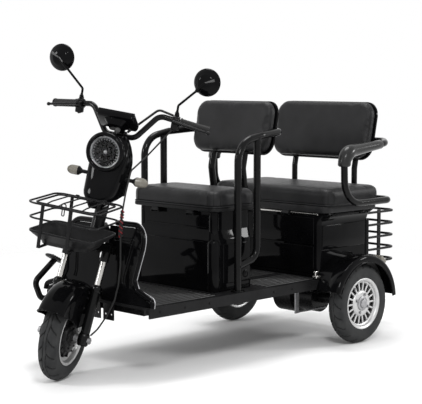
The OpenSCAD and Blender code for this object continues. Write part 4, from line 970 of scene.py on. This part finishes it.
def mirrors():
    bm, glass, highlight_bars = bmesh.new(), bmesh.new(), bmesh.new()
    for side in (-1, 1):
        middle = sided((1056, 330, 1258), side)
        lathe(bm, [(0, 29), (14, 28.6), (27, 26), (34, 23.4), (35.5, 21.6), (42, 17.4), (49, 11.6), (54, 6.4), (57, 2),
                   (58, -0.4), (57.4, -1.4), (55.6, -0.6), (55, 1), (55, 5.2), (0, 5.4)], middle, (1, 0, 0), 64)
        foot = sided(PERCH, side) + Vector((0, 0, 22))
        knee = foot + Vector((-2, 0, 42))
        boss = middle + Vector((15, -34 * side, -38))
        tube(bm, [foot, knee, boss], 5, 12, 8, sides=4)
        lathe(bm, [(0, 0), (9, 0), (9, 12), (6.5, 15), (5, 22)], foot, (0, 0, 1), 6)
        lathe(bm, [(0, -9), (6, -7), (9, 0), (6, 7), (0, 9)], boss, (1, 0, 0), 24)
        arm = middle + Vector((27, 0, 0))
        tube(bm, [boss + Vector((4, 0, 0)), boss.lerp(arm, 0.5) + Vector((5, 0, 0)), arm], 6, 20, 6, sides=3)
        lathe(glass, [(0, 1.2), (40, 1.1), (54, 1), (54.7, 1.6), (54.7, 4.6), (0, 4.7)], middle, (1, 0, 0), 64)
        # Lighter bars on the housing backs, from the middle toward the rim, are a painted highlight standing in for a
        # reflection on the convex housings
        hub, rim = middle + Vector((28.5, 0, 0)), middle + sided((21.5, 37, 15), side)
        tube(highlight_bars, [hub, hub.lerp(rim, 0.5) + Vector((2, 0, 0)), rim], 5, 0, sides=4, swell=[0.55, 0.85, 1.15])
    settle("mirror_housings", bm, GLOSS, "steering", ["mirrors"])
    settle("mirror_painted_highlight_bars", highlight_bars, CASE, "steering")
    settle("mirror_panes", glass, MIRROR, "steering", ["mirror_glass"])


headlight()
turn_signals()
dash()
handlebar()
levers()
mirrors()


# Basket
BASKET_TOP = 738


def basket():
    bm = bmesh.new()
    hoop(bm, 1332, 1612, 150, BASKET_TOP, 4, 40)
    hoop(bm, 1340, 1606, 144, 678, 4, 40)
    for y in (-80, 40):
        for x in (1334, 1604):
            block(bm, (x, y - 7, 565), (x + 6, y + 7, BASKET_TOP), 1.6)
        block(bm, (1334, y - 7, 563.7), (1610, y + 7, 569.7), 1.6)
    settle("basket_wires", bm, POWDER, "steering", ["basket_wire"])
    bm = bmesh.new()
    outer = [(570, 54), (573, 51), (584, 47), (590, 40), (600, 30), (612, 17), (618, 12), (620, 9), (623, 8.3),
             (628, 8.6)]
    inner = [(628, 12), (624, 15), (614, 22), (602, 35), (588, 48), (578, 56)]
    levels = [(1472, 0, z, 140 - i, 150 - i, corner) for wall, corner in ((outer, 36), (inner, 34)) for z, i in wall]
    loft(bm, levels, count=80)
    block(bm, (1400, -52, 556), (1500, 28, 571), 4)
    settle("basket_tray_shell", bm, PLASTIC, "steering", ["basket_tray"])


def basket_lid():
    bm = bmesh.new()
    back, front, half, z = 1356, 1588, 126, BASKET_TOP
    hoop(bm, back, front, half, z, 4, 28)
    for i in range(4):
        y = -half + (i + 1) * 2 * half / 5
        tube(bm, [(back, y, z), (1390, y, z + 5), (1540, y, z + 5), (front, y, z)], 3, 30, 6, sides=3)
    for y in (-60, 60):
        lathe(bm, [(4.2, -7), (7, -7), (8, -6), (8, 6), (7, 7), (4.2, 7)], (1332, y, z), (0, 1, 0), 24, True)
        block(bm, (1338, y - 5, z - 3), (back, y + 5, z + 3), 1.5)
    # Latch loops at the front
    tube(bm, [(front, -9, z), (1592, -9, 754), (1592, 9, 754), (front, 9, z)], 2.4, 7, 5, sides=3)
    tube(bm, [(1590, -5, z), (1591, -5, 706), (1591, 5, 706), (1590, 5, z)], 2.2, 4, 4, sides=3)
    settle("basket_lid_grille", bm, POWDER, "lid", ["basket_lid"])


basket()
basket_lid()


# Wheels
def tyre(name, node, body, middle):
    wall = [(111, 27), (111.5, 31), (115, 34.5), (121, 36), (127, 38.2), (134, 39.4)]
    crown = [math.radians(-84 + 168 * k / 56) for k in range(57)]
    profile = [(r, -y) for r, y in wall]
    profile += [(TYRE_R - SECTION_R + SECTION_R * math.cos(a), SECTION_R * math.sin(a)) for a in crown]
    profile += wall[::-1] + [(117, 22), (119, 0), (117, -22)]

    def tread(part):
        """Sinks swept side grooves and two wavy middle grooves, and gives their faces the darker second material as
        painted shade.
        """
        shaded_sunk = set()
        for v in part.verts:
            r, y = math.hypot(v.co.x, v.co.z), v.co.y
            if r < 158:
                continue
            a = math.atan2(v.co.z, v.co.x) / math.tau
            side = 1 if y > 0 else -1
            sweep = (a * 20 + 0.5 * (side > 0) + 0.6 * ((abs(y) - 8) / 26) ** 0.7) % 1 if abs(y) > 8 else 0.5
            cut = 3.4 if abs(y) > 9 and abs(y) < 35 and min(sweep, 1 - sweep) < 0.075 else 0
            rib = 2.6 if 5.2 < abs(y + 1.6 * math.sin(a * math.tau * 10)) < 8.6 else 0
            shrink = 1 - max(cut, rib) / r
            v.co.x *= shrink
            v.co.z *= shrink
            if cut or rib:
                shaded_sunk.add(v)
        # Faces of the sunk grooves take the darker rubber as painted shade
        for f in part.faces:
            f.material_index = int(sum(v in shaded_sunk for v in f.verts) > 2)

    bm = bmesh.new()
    lathe(bm, profile, middle, (0, 1, 0), 264, True, tread)
    settle(name, bm, TYRE, body, [node], sharp=28).data.materials.append(GROOVE_SHADE)


def cast_rim(name, node, body, middle, side):
    """A cast rear rim: barrel, hub plate, spokes between open windows, and the dark drum behind them."""
    bm = bmesh.new()
    axis = (0, side, 0)
    lathe(bm, [(118, -36), (118, -31), (111, -29), (110, -26), (110, 26), (111, 29), (118, 31), (118, 36), (115, 37),
               (108, 34.5), (104, 30), (102, 24), (98, 21.5), (96, 20), (96, 13), (100, 10), (104, -4), (104, -28),
               (108, -34), (115, -37)], middle, axis, 108, True)
    lathe(bm, [(11, 28), (34, 28), (46, 28.6), (54, 27.6), (59, 24), (61, 21), (61, 13), (57, 10), (11, 9)],
          middle, axis, 72, True)
    back, front = sorted((side * 12, side * 22))
    for turn in around(middle, 18, "Y"):
        block(bm, (58, back, -4.2), (99, front, 4.2), 2.6, 3, turn)
    settle(name, bm, SILVER, body, [node])
    bm = bmesh.new()
    lathe(bm, [(11, 8.5), (58, 8.5), (66, 4), (94, 0), (99, -6), (99, -22), (64, -24), (62, -30), (62, -43), (58, -44),
               (11, -44)], middle, axis, 72, True)
    settle(name + "_drum", bm, POWDER, body)


def wheel_trim(name, body, middle, side):
    """Hub cap, nuts and valve on a rear wheel's outer face."""
    bm = bmesh.new()
    lathe(bm, [(33, 29), (33, 31), (30, 33), (22, 34), (21, 40), (17, 43), (0, 44)], middle, (0, side, 0), 36)
    middle = Vector(middle)
    for i in range(4):
        a = i * math.tau / 4 + 0.4
        bolt(bm, middle + Vector((43 * math.cos(a), side * 29, 43 * math.sin(a))), (0, side, 0), 5.5, 6)
    a, valve = 0.9, ((104, 10), (100, 26), (96, 40))
    tube(bm, [middle + Vector((r * math.cos(a), side * y, r * math.sin(a))) for r, y in valve], 3.2, 6, 4, sides=3)
    settle(name, bm, ZINC, body)


def front_wheel():
    bm = bmesh.new()
    lathe(bm, [(118, -36), (118, -31), (113, -29.5), (110, -27), (110, 27), (113, 29.5), (118, 31), (118, 36),
               (115, 37), (108, 34), (104, 28), (102, 18), (95, 15), (88, 14), (88, 8), (95, 8), (98, 0), (98, -16),
               (102, -28), (108, -34), (115, -37)], FRONT_HUB, (0, 1, 0), 96, True)
    settle("front_wheel_rim", bm, SILVER, "front_wheel", ["front_rim"])
    bm = bmesh.new()
    lathe(bm, [(90, 13), (86, 16), (80, 17), (76, 22), (66, 24), (62, 32), (56, 35), (40, 36), (36, 42), (24, 45),
               (8.2, 45.5), (8.2, -45.5), (30, -45), (58, -44), (62, -40), (64, -20), (80, -12), (90, -8)],
          FRONT_HUB, (0, 1, 0), 72, True)
    for turn in around(FRONT_HUB, 12, "Y"):
        block(bm, (60, 15, -2.5), (88, 26, 2.5), 1.5, 2, turn)
    for i in range(6):
        a = i * math.tau / 6
        bolt(bm, Vector(FRONT_HUB) + Vector((49 * math.cos(a), 34.6, 49 * math.sin(a))), (0, 1, 0), 4, 5)
    settle("front_hub_drum", bm, POWDER, "front_wheel")


tyre("front_road_tyre", "front_tyre", "front_wheel", FRONT_HUB)
for wheel, wheel_side in (("left", 1), ("right", -1)):
    hub = (0, wheel_side * TRACK_HALF, TYRE_R)
    tyre(wheel + "_road_tyre", wheel + "_tyre", wheel + "_wheel", hub)
    cast_rim(wheel + "_cast_rim", wheel + "_rim", wheel + "_wheel", hub, wheel_side)
    wheel_trim(wheel + "_hub_trim", wheel + "_wheel", hub, wheel_side)
front_wheel()


# Small fittings
def fork_fittings():
    bm = bmesh.new()
    # Caps at the lower end of the bright tubes, sleeves under the crown, top caps and axle lugs
    turned = (([(13.4, 26), (15, 26), (17, 22), (21, 20), (22.5, 16), (22.5, 0), (21, -4), (19.2, -5)], 382, 36),
              ([(13.4, 0), (17.5, 0), (18.5, 3), (18.5, 40)], 506, 36), ([(16, 0), (16, 5), (13, 8), (0, 9)], 579, 6),
              ([(19.2, -22), (22, -20), (24, -6), (24, 10), (22, 22), (19.2, 26)], AXLE_W, 32))
    for side in (-1, 1):
        for profile, w, steps in turned:
            lathe(bm, profile, at_axis(AXLE_U, side * FORK_HALF, w), UP_AXIS, steps)
    lathe(bm, [(27, 0), (30, 2), (30, 12), (27, 14)], at_axis(0, 0, 578), UP_AXIS, 40)
    settle("fork_caps_and_sleeves", bm, TUBE, "steering")


def tail_lamps():
    red, clear = bmesh.new(), bmesh.new()
    for side in (-1, 1):
        y = side * 245
        block(red, (-214, y - 32, 520), (-190.5, y + 32, 560), 5)
        for i in range(6):
            block(red, (-216, y - 28 + i * 10, 525), (-212, y - 22 + i * 10, 555), 1.5, 2)
        turn = Matrix.Translation((0, side * TRACK_HALF, TYRE_R)) @ Matrix.Rotation(math.radians(-40), 4, "Y")
        block(clear, (-22, -31, 227), (22, 31, 255), 7, 4, turn)
        for i in range(7):
            block(clear, (-18, -27 + i * 8, 253), (18, -23 + i * 8, 256), 1.2, 2, turn)
    settle("tail_lamp_lenses", red, RED, "chassis", ["tail_lamps"])
    settle("fender_side_lamps", clear, SMOKED, "chassis")


def pedal():
    bm = bmesh.new()
    y = -306
    tube(bm, [(1156, -230.3, 276), (1156, y, 276), (1292, y, 276), (1324, y, 354), (1214, y, 439)], 13, 32, 10)
    settle("foot_brake_arm", bm, TUBE, "chassis", ["brake_pedal"])
    bm = bmesh.new()
    tilt = Matrix.Translation((1212, y, 437)) @ Matrix.Rotation(math.radians(-28), 4, "Y")
    loft(bm, [(0, 0, z, 52 - i, 31 - i, 28 - i) for z, i in ((0, 8), (2, 3), (6, 0), (10, 2), (12, 6))], tilt)
    for i in range(7):
        block(bm, (-42 + i * 12, -22, 10), (-36 + i * 12, 22, 14), 1.4, 2, tilt)
    settle("foot_brake_pad", bm, GRIP, "chassis")


def floor_fittings():
    bm = bmesh.new()
    for side in (-1, 1):
        block(bm, (1192, side * 300 - 11, 274), (1226, side * 300 + 11, 297), 5)
        for x in (260, 380, 500, 900, 1040, 1180):
            bolt(bm, (x, side * 330, 286), (0, side, 0), 4, 3.5)
    settle("floor_rubber_feet", bm, PLASTIC, "chassis")
    # Raised anti-slip ribs beside the grooves, in a lighter rubber whose colour is a painted highlight along their
    # crests
    bm = bmesh.new()
    for x0, x1 in ((836, 1180), (200, 520)):
        for i in range(23):
            y = -312 + 13.5 + i * 27
            if abs(y) < 300 and not (x0 < 500 and abs(abs(y) - 98) < 22):
                block(bm, (x0, y - 3, 305), (x1, y + 3, 311), 2.4, 3)
    settle("floor_rib_crests", bm, RIB_HIGHLIGHT, "chassis")


fork_fittings()
tail_lamps()
pedal()
floor_fittings()

# Finishes of the CAD nodes that stay
KEPT = {
    "frame": POWDER, "floor_pan": PLASTIC, "battery_pack": CASE, "rear_axle": POWDER, "leaf_springs": POWDER,
    "brake_linkage": ZINC, "fork": TUBE, "fork_tubes": CHROME, "front_axle": ZINC,
}
for node_name, node_finish in KEPT.items():
    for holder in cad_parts[node_name].material_slots:
        holder.material = node_finish


# Studio
def studio():
    ground = bmesh.new()
    bmesh.ops.create_circle(ground, cap_ends=True, segments=96, radius=40)
    mesh = bpy.data.meshes.new("studio_floor")
    ground.to_mesh(mesh)
    ground.free()
    floor = linked("studio_floor", mesh)
    pale = Finish("studio_paper", Roughness=0.9, Specular_IOR_Level=0.1)
    pale.tint(pale.noise(3), (0.92, 0.92, 0.92), (0.94, 0.94, 0.94))
    spread = pale.node("ShaderNodeVectorMath", {"operation": "LENGTH"}, {0: pale.place}, out="Value")
    pale.set("Alpha", pale.node("ShaderNodeMapRange", {"interpolation_type": "SMOOTHSTEP"},
                                {0: spread, 1: 1.7, 2: 4.2, 3: 1.0, 4: 0.0}))
    mesh.materials.append(pale.material)
    # White where the camera, a reflection or a lens sees it, and a softer white as a light
    world = bpy.data.worlds.new("studio_world")
    SCENE.world = world
    world.use_nodes = True
    tree = world.node_tree

    def join(kind, *feeds):
        made = tree.nodes.new(kind)
        if kind == "ShaderNodeMath":
            made.operation = "MAXIMUM"
        for socket, feed in zip(made.inputs, feeds):
            tree.links.new(feed, socket)
        return made.outputs[0]

    sky, seen = tree.nodes["Background"], tree.nodes.new("ShaderNodeBackground")
    for backdrop in (sky, seen):
        backdrop.inputs["Color"].default_value = (1, 1, 1, 1)
    sky.inputs["Strength"].default_value = 0.72
    rays = tree.nodes.new("ShaderNodeLightPath").outputs
    bounced = join("ShaderNodeMath", rays["Is Glossy Ray"], rays["Is Transmission Ray"])
    direct = join("ShaderNodeMath", rays["Is Camera Ray"], bounced)
    mixed = join("ShaderNodeMixShader", direct, sky.outputs[0], seen.outputs[0])
    tree.links.new(mixed, tree.nodes["World Output"].inputs["Surface"])
    for name, place, size, watts in (
            ("key_softbox", (2.6, 3.4, 3.6), 1.1, 100), ("top_softbox", (-0.6, -0.4, 4.2), 2.0, 90),
            ("side_strip", (-3.2, 2.6, 2.0), 0.8, 45), ("front_strip", (3.6, -1.2, 2.2), 0.8, 45)):
        lamp = bpy.data.lights.new(name, "AREA")
        lamp.shape, lamp.size, lamp.energy = "DISK", size, watts
        stand = linked(name, lamp)
        stand.location = place
        stand.rotation_mode = "QUATERNION"
        stand.rotation_quaternion = (Vector((0, 0, 0.6)) - Vector(place)).to_track_quat("-Z", "Y")
    SCENE.view_settings.view_transform = "Standard"


studio()
